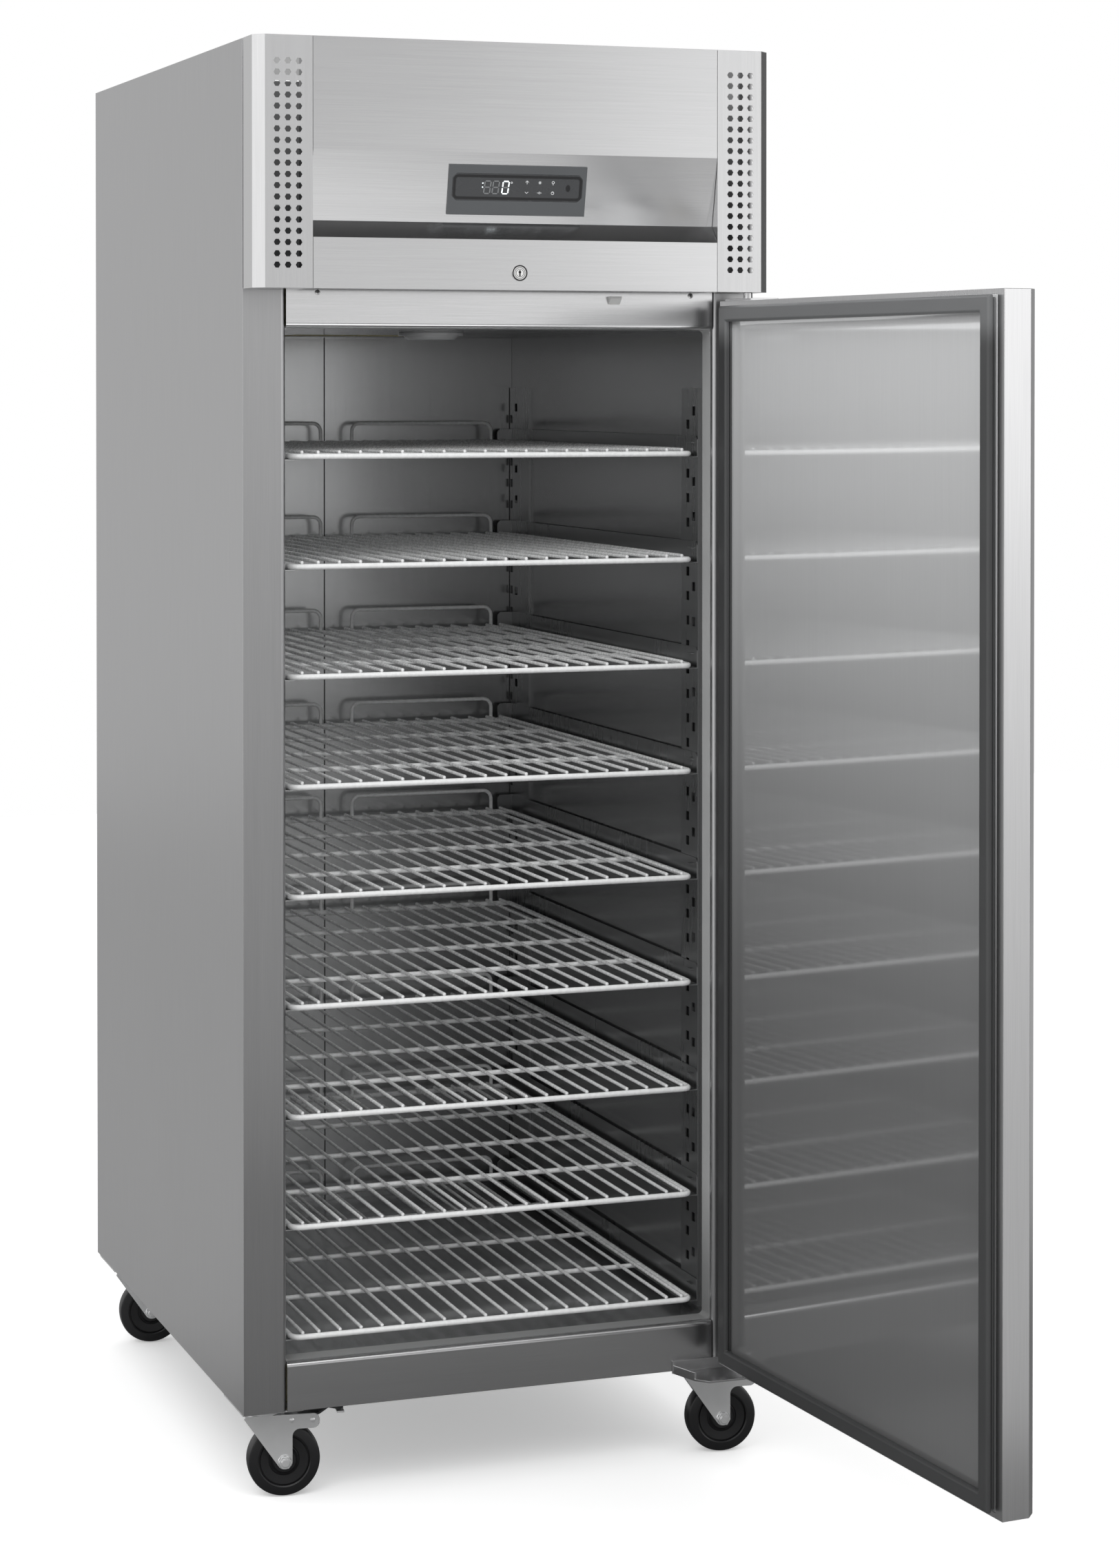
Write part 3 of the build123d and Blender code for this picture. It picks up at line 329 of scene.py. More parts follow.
def bumped(tree, shader, height, depth):
    """Gives a shader the fine relief of a noise value."""
    node = tree.nodes.new("ShaderNodeBump")
    node.inputs["Strength"].default_value = 1
    node.inputs["Distance"].default_value = depth
    link(tree, height, node.inputs["Height"])
    link(tree, node.outputs["Normal"], shader.inputs["Normal"])


def painted_shade_along(tree, colour, axis, start, end, first, last):
    """Painted light and shade: a colour that grows darker or lighter along an axis, from one place to
    another.
    """
    coords = tree.nodes.new("ShaderNodeTexCoord")
    axes = tree.nodes.new("ShaderNodeSeparateXYZ")
    link(tree, coords.outputs["Object"], axes.inputs["Vector"])
    shade = tree.nodes.new("ShaderNodeVectorMath")
    shade.operation = "SCALE"
    link(tree, colour, shade.inputs[0])
    link(tree, tuned(tree, axes.outputs[axis], start, end, first, last), shade.inputs["Scale"])
    return shade.outputs["Vector"]


UP = (900, 900, 9)
ACROSS = (9, 900, 900)


def brushed_steel(name, tone, grain, roughness, contrast=0.04, depth=0.00002, metal=1.0, painted_shading=None):
    """Stainless sheet whose fine grain runs along one axis. Less than full metal gives a hazy veil, and
    painted shading, where given, makes the tone darker or lighter along an axis: painted light and shade."""
    material, tree, shader = new_material(name)
    grains = tree.nodes.new("ShaderNodeGroup")
    grains.node_tree = grain_group
    grains.inputs["Stretch"].default_value = grain
    grains.inputs["Cloud Scale"].default_value = 1.7
    fine_tone = combined(tree, "MULTIPLY", grains.outputs["Grain"], 0.8)
    mark_tone = combined(tree, "MULTIPLY", grains.outputs["Brush Marks"], 0.2)
    tone_value = combined(tree, "ADD", fine_tone, mark_tone)
    colour = toned(tree, tone, spread(tree, tone_value, 0, 1, 0.35, 0.65), contrast)
    if painted_shading:
        colour = painted_shade_along(tree, colour, *painted_shading)
    link(tree, colour, shader.inputs["Base Color"])
    marked = spread(tree, grains.outputs["Brush Marks"], -0.005, 0.008)
    clouded = spread(tree, grains.outputs["Clouds"], roughness - 0.015, roughness + 0.025)
    link(tree, combined(tree, "ADD", marked, clouded), shader.inputs["Roughness"])
    shader.inputs["Metallic"].default_value = metal
    shader.inputs["Anisotropic"].default_value = 0.4
    bumped(tree, shader, grains.outputs["Grain"], depth)
    return material


# The side sheets carry a darker tone than the front stainless sheets: painted shade.
side_steel = brushed_steel("side_steel", (0.47, 0.47, 0.475), UP, 0.3)
dressed("left_side_panel", "left_side_sheet", side_steel)
dressed("right_side_panel", "right_side_sheet", side_steel)


def galvanised(name, tone, roughness):
    """Zinc-coated sheet with the soft patches of its spangle."""
    material, tree, shader = new_material(name)
    coords = tree.nodes.new("ShaderNodeTexCoord")
    spangle = tree.nodes.new("ShaderNodeTexVoronoi")
    spangle.inputs["Scale"].default_value = 90
    link(tree, coords.outputs["Object"], spangle.inputs["Vector"])
    grey = tree.nodes.new("ShaderNodeRGBToBW")
    link(tree, spangle.outputs["Color"], grey.inputs["Color"])
    link(tree, toned(tree, tone, grey.outputs["Val"], 0.09), shader.inputs["Base Color"])
    link(tree, spread(tree, grey.outputs["Val"], roughness - 0.05, roughness + 0.08, 0, 1),
         shader.inputs["Roughness"])
    shader.inputs["Metallic"].default_value = 0.9
    return material


zinc_sheet = galvanised("zinc_sheet", (0.55, 0.56, 0.57), 0.42)
dressed("back_panel", "back_sheet", zinc_sheet)
dressed("bottom_panel", "bottom_sheet", zinc_sheet)
dressed("machine_deck", "deck_sheet", zinc_sheet)


# Front rails: stainless strips above and below the opening, brushed along their length.
# The rails' tone grows lighter upwards, so the header is lighter than the sill: painted light.
rail_steel = brushed_steel("rail_steel", (0.66, 0.66, 0.665), ACROSS, 0.2, painted_shading=("Z", 0.5, 1.4, 0.95, 1.16))
dressed("front_rails", "opening_rails", rail_steel)


# Liner: thin bright-rolled sheets that meet at the inner corners. They are smoother than the skin, so they
# mirror the shelves softly.
# Their tones are painted light and shade: the ceiling and the floor are darker than the back, and the walls
# and the back are painted lighter on the left and darker on the right, where the room's light doesn't reach.
haze = 0.85
wall_steel = brushed_steel("wall_steel", (0.6, 0.605, 0.61), UP, 0.18, metal=haze,
                           painted_shading=("X", -0.05, 0.05, 0.9, 0.43))
back_steel = brushed_steel("back_steel", (0.7, 0.705, 0.71), UP, 0.2, metal=haze,
                           painted_shading=("X", -0.05, 0.3, 0.95, 0.45))
ceiling_steel = brushed_steel("ceiling_steel", (0.34, 0.343, 0.346), UP, 0.16, metal=haze)
base_steel = brushed_steel("base_steel", (0.45, 0.455, 0.46), UP, 0.18, metal=haze)
for node, name, material in (
    ("liner_side_walls", "liner_sides", wall_steel),
    ("liner_back_wall", "liner_back", back_steel),
    ("liner_ceiling", "liner_top", ceiling_steel),
    ("liner_floor", "liner_base", base_steel),
):
    dressed(node, name, material, edge=0.0003)


def block_piece(name, low, high, edge=0.0005, steps=2):
    """A small solid from one corner to the other with eased edges."""
    bpy.ops.object.select_all(action="DESELECT")
    middle = [(a + b) / 2 for a, b in zip(low, high)]
    bpy.ops.mesh.primitive_cube_add(size=1, location=middle)
    piece = bpy.context.object
    piece.name = name
    piece.scale = [b - a for a, b in zip(low, high)]
    bpy.ops.object.transform_apply(location=True, rotation=True, scale=True)
    if edge:
        rounding = piece.modifiers.new("eased_edges", "BEVEL")
        rounding.width = edge
        rounding.segments = steps
        apply_modifiers(piece)
    return piece


def plastic(name, tone, roughness, grain_scale=900, depth=0.00003, contrast=0.03, coat=0.0, painted_shading=None):
    """Moulded plastic with a fine leather-like skin and faint mould clouds. Painted shading, where given,
    makes it darker or lighter along an axis: painted light and shade.
    """
    material, tree, shader = new_material(name)
    cloudy = noise(tree, 14, 3)
    colour = toned(tree, tone, spread(tree, cloudy, 0, 1), contrast)
    if painted_shading:
        colour = painted_shade_along(tree, colour, *painted_shading)
    link(tree, colour, shader.inputs["Base Color"])
    link(tree, spread(tree, cloudy, roughness - 0.04, roughness + 0.05), shader.inputs["Roughness"])
    shader.inputs["Coat Weight"].default_value = coat
    shader.inputs["Coat Roughness"].default_value = 0.08
    bumped(tree, shader, noise(tree, grain_scale), depth)
    return material


# Back seam: the narrow dark gap between the two back sheets, packed with sealant.
sealant = plastic("sealant", (0.02, 0.02, 0.02), 0.5)
seam_x = -0.01
seam_half = 0.0009
seam_proud = 0.0004
seam_end_gap = 0.001
back_low, back_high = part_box("liner_back_wall")
back_seam = block_piece(
    "back_seam",
    (seam_x - seam_half, back_low.y - seam_proud, back_low.z + seam_end_gap),
    (seam_x + seam_half, back_low.y + seam_proud, back_high.z - seam_end_gap),
    edge=0,
)
finish_piece(back_seam, "cabinet", sealant)


# Throat frame: a light grey moulded strip all round the opening, between the rails and the liner.
# The strip grows darker towards the bottom of the opening, down to half its tone: painted shade.
throat_plastic = plastic("throat_plastic", (0.5, 0.505, 0.505), 0.38, painted_shading=("Z", 0.21, 0.4, 0.5, 1))
dressed("throat_frame", "throat_strip", throat_plastic, edge=0.0006)


# Shelf standards: shallow pressed channels with slots at 50 mm, and a second column of slots at 35 mm.
# The second column is cut here, right through both sides at once, one row of boxes for each channel.
# The standards, runners and tabs on the right get half the tone of those on the left: painted shade.
standard_steel = brushed_steel("standard_steel", (0.6, 0.605, 0.61), UP, 0.27, contrast=0.02, depth=0.000005,
                               painted_shading=("X", -0.05, 0.05, 1, 0.5))
standards = dressed("shelf_standards", "slotted_standards", standard_steel, edge=0)
standards_low, standards_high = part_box("shelf_standards")
stile_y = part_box("left_side_panel")[0].y
slot_width = 0.012
slot_height = 0.013
slot_overrun = 0.02
second_pitch = 0.035
second_columns = (0.083, 0.854)
slot_margin = 0.03
row_count = int((standards_high.z - standards_low.z - 2 * slot_margin) / second_pitch) + 1
first_row = standards_low.z + slot_margin
for column in second_columns:
    bpy.ops.object.select_all(action="DESELECT")
    bpy.ops.mesh.primitive_cube_add(size=1, location=(0, stile_y + column, first_row))
    cutter = bpy.context.object
    cutter.scale = (2 * standards_high.x + slot_overrun, slot_width, slot_height)
    bpy.ops.object.transform_apply(location=True, rotation=True, scale=True)
    rows = cutter.modifiers.new("rows", "ARRAY")
    rows.use_relative_offset = False
    rows.use_constant_offset = True
    rows.constant_offset_displace = (0, 0, second_pitch)
    rows.count = row_count
    apply_modifiers(cutter)
    cut = standards.modifiers.new("slots", "BOOLEAN")
    cut.operation = "DIFFERENCE"
    cut.solver = "EXACT"
    cut.object = cutter
    apply_modifiers(standards)
    bpy.data.objects.remove(cutter)


def joined(pieces, name):
    """Joins pieces into the first one."""
    bpy.ops.object.select_all(action="DESELECT")
    for piece in pieces:
        piece.select_set(True)
    bpy.context.view_layer.objects.active = pieces[0]
    if len(pieces) > 1:
        bpy.ops.object.join()
    bpy.context.object.name = name
    return bpy.context.object


def moved_copy(piece, offset, mirror_x=False):
    """A copy with its own mesh, set off by a vector, and mirrored to the other side if asked."""
    copy = bpy.data.objects.new(piece.name, piece.data.copy())
    bpy.context.scene.collection.objects.link(copy)
    matrix = Matrix.Translation(offset)
    if mirror_x:
        matrix = matrix @ Matrix.Scale(-1, 4, (1, 0, 0))
    copy.data.transform(matrix)
    if mirror_x:
        copy.data.flip_normals()
    return copy


# Shelf runners: folded angles hooked into the standards, with a small punched tab near the front end
# that stops the shelf from tipping. The tabs are pressed out of the same sheet.
dressed("shelf_runners", "angle_runners", standard_steel, edge=0.0003)
shelf_names = sorted(name for name in frame["nodes"] if name.startswith("shelf_") and name[6:].isdigit())
frame_wire = 0.008
shelf_levels = {name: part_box(name)[0].z + frame_wire / 2 for name in shelf_names}
tab_sheet = 0.0015
runner_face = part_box("shelf_runners")[1].x - tab_sheet
tab_reach = 0.007
tab_sink = 0.0004
tab_start = stile_y + 0.056
tab_length = 0.016
tab_rise = 0.0145
tab = block_piece(
    "tab",
    (runner_face - tab_reach, tab_start, tab_rise),
    (runner_face + tab_sink, tab_start + tab_length, tab_rise + tab_sheet),
    edge=0.0004,
)
tabs = []
for level in shelf_levels.values():
    tabs.append(moved_copy(tab, (0, 0, level)))
    tabs.append(moved_copy(tab, (0, 0, level), mirror_x=True))
bpy.data.objects.remove(tab)
finish_piece(joined(tabs, "runner_tabs"), "cabinet", standard_steel)


# Wire shelves: steel wire welded into a grid and dipped in white plastic. A bent frame wire runs round
# the edge over three cross bars, thin wires run from front to back, and two hoops stand up at the rear.
def coated_wire(name, tone):
    """White plastic coating, slightly uneven, with a soft gloss."""
    material, tree, shader = new_material(name)
    dips = noise(tree, 160)
    link(tree, toned(tree, tone, spread(tree, dips, 0, 1), 0.03), shader.inputs["Base Color"])
    link(tree, spread(tree, dips, 0.2, 0.34), shader.inputs["Roughness"])
    shader.inputs["Coat Weight"].default_value = 0.3
    shader.inputs["Coat Roughness"].default_value = 0.1
    bumped(tree, shader, dips, 0.00008)
    return material


white_coating = coated_wire("white_coating", (0.86, 0.865, 0.865))
shelf_low, shelf_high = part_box("shelf_1")
thin_wire = 0.005
bar_wire = 0.007
hoop_wire = 0.006
wire_bend = 0.013
grid_pitch = 0.03
grid_count = 18
grid_overhang = 0.0015
hoop_span = (0.026, 0.262)
hoop_foot = 0.0025
weld_sink = 0.0006
side_gap = 0.014
shelf_half_width = 0.296
shelf_setback = 0.032
shelf_length = 0.803
wire_half_width = shelf_half_width - frame_wire / 2
front_wire_y = stile_y + shelf_setback + frame_wire / 2
rear_wire_y = front_wire_y + shelf_length - frame_wire


def bent_loop(name, low, high, thickness, open_below=False):
    """A round wire bent along a flat rectangle with rounded corners, or along three of its sides."""
    bpy.ops.object.select_all(action="DESELECT")
    bpy.ops.mesh.primitive_plane_add(size=1)
    loop = bpy.context.object
    loop.name = name
    bpy.ops.object.mode_set(mode="EDIT")
    bpy.ops.mesh.select_all(action="SELECT")
    bpy.ops.mesh.delete(type="ONLY_FACE")
    bpy.ops.object.mode_set(mode="OBJECT")
    width, depth = high[0] - low[0], high[1] - low[1]
    for vertex in loop.data.vertices:
        vertex.co.x = (low[0] + high[0]) / 2 + vertex.co.x * width
        vertex.co.y = (low[1] + high[1]) / 2 + vertex.co.y * depth
    bpy.ops.object.mode_set(mode="EDIT")
    bpy.ops.mesh.select_all(action="DESELECT")
    bpy.ops.object.mode_set(mode="OBJECT")
    if open_below:
        for edge in loop.data.edges:
            edge.select = all(abs(loop.data.vertices[v].co.y - low[1]) < 1e-5 for v in edge.vertices)
        bpy.ops.object.mode_set(mode="EDIT")
        bpy.ops.mesh.select_mode(type="EDGE")
        bpy.ops.mesh.delete(type="EDGE_FACE")
        bpy.ops.mesh.select_mode(type="VERT")
        bpy.ops.object.mode_set(mode="OBJECT")
    for vertex in loop.data.vertices:
        vertex.select = not open_below or vertex.co.y > high[1] - 1e-5
    bpy.ops.object.mode_set(mode="EDIT")
    bpy.ops.mesh.bevel(offset=wire_bend, segments=5, affect="VERTICES")
    bpy.ops.object.mode_set(mode="OBJECT")
    bpy.ops.object.convert(target="CURVE")
    loop.data.bevel_depth = thickness / 2
    loop.data.bevel_resolution = 3
    loop.data.use_fill_caps = True
    bpy.ops.object.convert(target="MESH")
    return loop


def straight_wire(name, thickness, start, length, along_x, count=1, pitch=0.0, sides=8):
    """A straight round wire with softened ends, repeated at a pitch across its length."""
    bpy.ops.object.select_all(action="DESELECT")
    turn = (0, pi / 2, 0) if along_x else (pi / 2, 0, 0)
    middle = Vector(start) + Vector((length / 2, 0, 0) if along_x else (0, length / 2, 0))
    bpy.ops.mesh.primitive_cylinder_add(vertices=sides, radius=thickness / 2, depth=length, location=middle,
                                        rotation=turn)
    wire = bpy.context.object
    wire.name = name
    bpy.ops.object.transform_apply(location=True, rotation=True, scale=True)
    ends = wire.modifiers.new("soft_ends", "BEVEL")
    ends.width = thickness / 5
    ends.segments = 1
    ends.limit_method = "ANGLE"
    ends.angle_limit = radians(60)
    if count > 1:
        row = wire.modifiers.new("row", "ARRAY")
        row.use_relative_offset = False
        row.use_constant_offset = True
        row.constant_offset_displace = (0, pitch, 0) if along_x else (pitch, 0, 0)
        row.count = count
    apply_modifiers(wire)
    return wire


near_corner, far_corner = (-wire_half_width, front_wire_y), (wire_half_width, rear_wire_y)
frame_loop = bent_loop("frame_loop", near_corner, far_corner, frame_wire)
wire_depth = rear_wire_y - front_wire_y
bar_pitch = wire_depth / 4
first_bar = (-wire_half_width, front_wire_y + bar_pitch, (frame_wire - bar_wire) / 2)
bar_length = 2 * wire_half_width
bars = straight_wire("bars", bar_wire, first_bar, bar_length, True, count=3, pitch=bar_pitch, sides=10)
wire_top = (frame_wire + thin_wire) / 2 - weld_sink
grid_start = front_wire_y - grid_overhang
grid_length = wire_depth + 2 * grid_overhang
first_thin = (-grid_pitch * (grid_count - 1) / 2, grid_start, wire_top)
grid = straight_wire("grid", thin_wire, first_thin, grid_length, False, count=grid_count, pitch=grid_pitch)
first_edge = (side_gap - wire_half_width, grid_start, wire_top)
edge_pitch = 2 * (wire_half_width - side_gap)
edge_wires = straight_wire("edge_wires", thin_wire, first_edge, grid_length, False, count=2, pitch=edge_pitch)
hoop_top = shelf_high.z - shelf_low.z - frame_wire / 2 - hoop_wire / 2
hoop = bent_loop("hoop", (hoop_span[0], hoop_foot), (hoop_span[1], hoop_top), hoop_wire, open_below=True)
hoop.data.transform(Matrix.Translation((0, rear_wire_y, 0)) @ Matrix.Rotation(pi / 2, 4, "X"))
second_hoop = moved_copy(hoop, (0, 0, 0), mirror_x=True)
one_shelf = joined([frame_loop, bars, grid, edge_wires, hoop, second_hoop], "one_shelf")
for name, level in shelf_levels.items():
    wire_shelf = moved_copy(one_shelf, (0, 0, level))
    wire_shelf.name = f"wire_{name}"
    finish_piece(wire_shelf, frame["nodes"][name]["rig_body"], white_coating, smooth=50)
    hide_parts(name)
bpy.data.objects.remove(one_shelf)


# Ceiling lamp: a low round fitting with a pearly cover, switched off.
lamp_plastic = plastic("lamp_plastic", (0.48, 0.485, 0.49), 0.18, coat=0.3)
dressed("ceiling_lamp", "round_lamp", lamp_plastic, edge=0.0012, steps=3)


# Door switch: a white plastic wedge screwed to the header, read by a magnet in the door.
switch_plastic = plastic("switch_plastic", (0.86, 0.86, 0.85), 0.3)
dressed("door_switch", "switch_wedge", switch_plastic, edge=0.0008)


# Fascia columns: folded stainless covers at both ends of the fascia, punched with six-sided air holes.
# Their grain runs upwards, and each hole has a thin bright edge from the punch.
column_steel = brushed_steel("column_steel", (0.66, 0.66, 0.665), UP, 0.24, contrast=0.03)
dressed("fascia_columns", "punched_columns", column_steel, edge=0.0005)


# Service panel: one folded stainless sheet in front of the machinery, brushed along its width.
panel_steel = brushed_steel("panel_steel", (0.66, 0.66, 0.665), ACROSS, 0.18, contrast=0.025, depth=0.00001)
dressed("fascia_panel", "swing_panel", panel_steel, edge=0.0008, smooth=9)


# Controller: a dark bezel with a black gloss window, three digits, two signal lights and six touch marks.
bezel_plastic = plastic("bezel_plastic", (0.09, 0.095, 0.1), 0.45)
dressed("display_bezel", "controller_bezel", bezel_plastic, edge=0.0008)
dressed("controller_box", "controller_body", bezel_plastic, edge=0.0008)


def window_gloss(name):
    """Smoked acrylic over the display, with faint wipe marks in its gloss."""
    material, tree, shader = new_material(name)
    wipes = noise(tree, 35)
    link(tree, toned(tree, (0.05, 0.052, 0.055), wipes, 0.1), shader.inputs["Base Color"])
    link(tree, spread(tree, wipes, 0.22, 0.3), shader.inputs["Roughness"])
    return material


dressed("display_window", "controller_window", window_gloss("window_gloss"), edge=0.0004)
window_low, window_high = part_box("display_window")
slope_reach = 0.020
slope_rise = 0.094
tilt = Vector((0, -slope_reach, slope_rise)).normalized()
outward = Vector((1, 0, 0)).cross(tilt)
window_height = (window_high.z - window_low.z) * tilt.z
window_centre = (window_low + window_high) / 2
marks_proud = 0.00078
window_front = window_centre + outward * marks_proud
window_place = Matrix((
    (1, tilt.x, outward.x, window_front.x),
    (0, tilt.y, outward.y, window_front.y),
    (0, tilt.z, outward.z, window_front.z),
    (0, 0, 0, 1),
))
mark_depth = 0.0002


def lit(name, colour, strength):
    """A light behind the window, with faint random patches in its brightness."""
    material, tree, shader = new_material(name)
    glow = toned(tree, colour, noise(tree, 500), 0.08)
    link(tree, glow, shader.inputs["Base Color"])
    link(tree, glow, shader.inputs["Emission Color"])
    shader.inputs["Emission Strength"].default_value = strength
    shader.inputs["Roughness"].default_value = 0.3
    return material


lit_digit = lit("lit_digit", (0.86, 0.95, 1.0), 0.9)
dim_digit = lit("dim_digit", (0.16, 0.165, 0.17), 0.25)
touch_white = lit("touch_white", (0.7, 0.71, 0.72), 0.2)


def stroke(start, end, width):
    """A flat bar with pointed ends between two points of the window's own plane."""
    run = Vector(end) - Vector(start)
    corner = Vector((run.length / 2, width / 2, mark_depth))
    piece = block_piece("stroke", -corner, corner, edge=0)
    bpy.ops.object.mode_set(mode="EDIT")
    bpy.ops.mesh.select_all(action="DESELECT")
    bpy.ops.object.mode_set(mode="OBJECT")
    for edge in piece.data.edges:
        a, b = [piece.data.vertices[v].co for v in edge.vertices]
        edge.select = abs(a.z - b.z) > mark_depth
    bpy.ops.object.mode_set(mode="EDIT")
    bpy.ops.mesh.select_mode(type="EDGE")
    bpy.ops.mesh.bevel(offset=width * 0.35, segments=1)
    bpy.ops.object.mode_set(mode="OBJECT")
    turn = Matrix.Rotation(run.angle_signed(Vector((1, 0))), 4, "Z")
    centre = (Vector(start) + Vector(end)) / 2
    piece.data.transform(Matrix.Translation((centre.x, centre.y, 0)) @ turn)
    return piece


digit_height = 0.017
digit_width = 0.0085
segment_width = 0.0017


def digit(centre_x, segments):
    """Strokes of a seven-part digit, named a to g from the top round to the middle bar."""
    half, side = digit_height / 2, digit_width / 2
    gap = segment_width * 0.45
    strokes = {
        "a": ((-side + gap, half), (side - gap, half)),
        "b": ((side, half - gap), (side, gap)),
        "c": ((side, -gap), (side, -half + gap)),
        "d": ((-side + gap, -half), (side - gap, -half)),
        "e": ((-side, -gap), (-side, -half + gap)),
        "f": ((-side, half - gap), (-side, gap)),
        "g": ((-side + gap, 0), (side - gap, 0)),
    }
    lean = 0.09
    return [
        stroke(*[(centre_x + x + lean * y, y) for x, y in strokes[part]], segment_width)
        for part in segments
    ]


def window_marks(pieces, name, material):
    """Joins marks drawn in the window's own plane and sets them on the window."""
    marks = joined(pieces, name)
    marks.data.transform(window_place)
    finish_piece(marks, "service_panel", material)


tens, units, tenths = -0.0437, -0.0317, -0.0177
window_marks(digit(tenths, "abcdef"), "lit_digit", lit_digit)
dim_strokes = digit(tens, "abcdefg") + digit(units, "abcdefg") + digit(tenths, "g")
window_marks(dim_strokes, "dim_digits", dim_digit)


def turned(name, profile, segments=32):
    """A ring or disc turned about +Z from radius and height pairs, listed from the outside edge inwards."""
    bpy.ops.object.select_all(action="DESELECT")
    radius, height = profile[0]
    bpy.ops.mesh.primitive_circle_add(vertices=segments, radius=radius, location=(0, 0, height))
    piece = bpy.context.object
    piece.name = name
    bpy.ops.object.transform_apply(location=True, rotation=True, scale=True)
    bpy.ops.object.mode_set(mode="EDIT")
    bpy.ops.mesh.select_all(action="SELECT")
    for next_radius, next_height in profile[1:]:
        bpy.ops.mesh.extrude_region_move(TRANSFORM_OT_translate={"value": (0, 0, next_height - height)})
        if next_radius > 0:
            factor = next_radius / radius
            bpy.ops.transform.resize(value=(factor, factor, 1), center_override=(0, 0, next_height))
            radius = next_radius
        else:
            bpy.ops.mesh.merge(type="CENTER")
        height = next_height
    bpy.ops.mesh.select_all(action="SELECT")
    bpy.ops.mesh.remove_doubles(threshold=0.000005)
    bpy.ops.mesh.normals_make_consistent(inside=False)
    bpy.ops.object.mode_set(mode="OBJECT")
    return piece


def ring(name, outer, inner, low, high, segments=32):
    """A flat ring about +Z."""
    profile = [(inner, low), (outer, low), (outer, high), (inner, high), (inner, low)]
    return turned(name, profile, segments)


def ring_mark(centre, radius, width):
    """A ring drawn on the window."""
    piece = ring("ring_mark", radius + width / 2, radius - width / 2, -mark_depth, mark_depth, segments=20)
    piece.data.transform(Matrix.Translation((*centre, 0)))
    return piece


def disc_mark(centre, radius):
    """A dot drawn on the window."""
    piece = turned("disc_mark", [(radius, -mark_depth), (radius, mark_depth), (0, mark_depth)], segments=20)
    piece.data.transform(Matrix.Translation((*centre, 0)))
    return piece


thin = 0.0006
signals = [disc_mark((-0.0505, height), 0.0009) for height in (0.0055, 0.0)]
window_marks(signals, "signal_lights", lit_digit)
window_marks([ring_mark((-0.0093, 0.0068), 0.0011, thin)], "degree_mark", touch_white)
# Touch marks: an arrow, a star, a bulb, a chevron, a circle between two dashes and a switch sign.
left, middle, right = 0.013, 0.0315, 0.0505
upper, lower = 0.0075, -0.0065
reach = 0.0024
sides = (-1, 1)
arrow = [stroke((left, upper - reach), (left, upper + reach), thin)]
arrow += [stroke((left + side * reach, upper), (left, upper + reach), thin) for side in sides]
star = []
for turn in (0, pi / 3, 2 * pi / 3):
    across, along = cos(turn) * reach, sin(turn) * reach
    star.append(stroke((middle - across, upper - along), (middle + across, upper + along), thin))
bulb = [ring_mark((right, upper + 0.0006), 0.0017, thin)]
bulb.append(stroke((right - 0.0009, upper - 0.0023), (right + 0.0009, upper - 0.0023), thin))
chevron = [stroke((left + side * reach, lower + 0.001), (left, lower - 0.001), thin) for side in sides]
circle = [ring_mark((middle, lower), 0.0012, thin)]
circle += [stroke((middle + side * 0.0018, lower), (middle + side * 0.0033, lower), thin) for side in sides]
switch = [ring_mark((right, lower), 0.0019, thin)]
switch.append(stroke((right, lower + 0.0005), (right, lower + 0.0026), thin))
window_marks(arrow + star + bulb + chevron + circle + switch, "touch_marks", touch_white)
eye = disc_mark((0, 0), 0.0032)
eye_stretch = 1.5
eye.data.transform(Matrix.Translation((0.0725, 0.0005, 0)) @ Matrix.Scale(eye_stretch, 4, (0, 1, 0)))
sensor_dark = lit("sensor_dark", (0.006, 0.006, 0.007), 0.0)
window_marks([eye], "sensor_eye", sensor_dark)
rim_margin = 0.001
rim_corner = 0.007
rim_width = 0.0036
bpy.ops.object.select_all(action="DESELECT")
bpy.ops.mesh.primitive_plane_add(size=1)
rim = bpy.context.object
rim.scale = (window_high.x - window_low.x - 2 * rim_margin, window_height - 2 * rim_margin, 1)
bpy.ops.object.transform_apply(location=True, rotation=True, scale=True)
bpy.ops.object.mode_set(mode="EDIT")
bpy.ops.mesh.select_all(action="SELECT")
bpy.ops.mesh.bevel(offset=rim_corner, segments=6, affect="VERTICES")
bpy.ops.mesh.select_all(action="SELECT")
bpy.ops.mesh.inset(thickness=rim_width)
bpy.ops.mesh.delete(type="FACE")
bpy.ops.object.mode_set(mode="OBJECT")
rim_depth = rim.modifiers.new("rim_depth", "SOLIDIFY")
rim_depth.thickness = 2 * mark_depth
rim_depth.offset = 0
apply_modifiers(rim)
window_marks([rim], "window_rim", sensor_dark)


# Lock: a nickel-plated cam lock in the panel's lower edge, with a bright flange and a dark key slot.
# The slot, the rings on the plug and round it, and the ring round the flange are thin black marks on the
# faces:
# painted shade in the slot, the groove and the gap, and a painted shadow round the flange.
def plated(name, tone, roughness, contrast=0.05, scale=260, metal=1.0):
    """Bright plating with tiny scuffs."""
    material, tree, shader = new_material(name)
    scuffs = noise(tree, scale, 3)
    link(tree, toned(tree, tone, spread(tree, scuffs, 0, 1), contrast), shader.inputs["Base Color"])
    link(tree, spread(tree, scuffs, roughness - 0.02, roughness + 0.03), shader.inputs["Roughness"])
    shader.inputs["Metallic"].default_value = metal
    return material


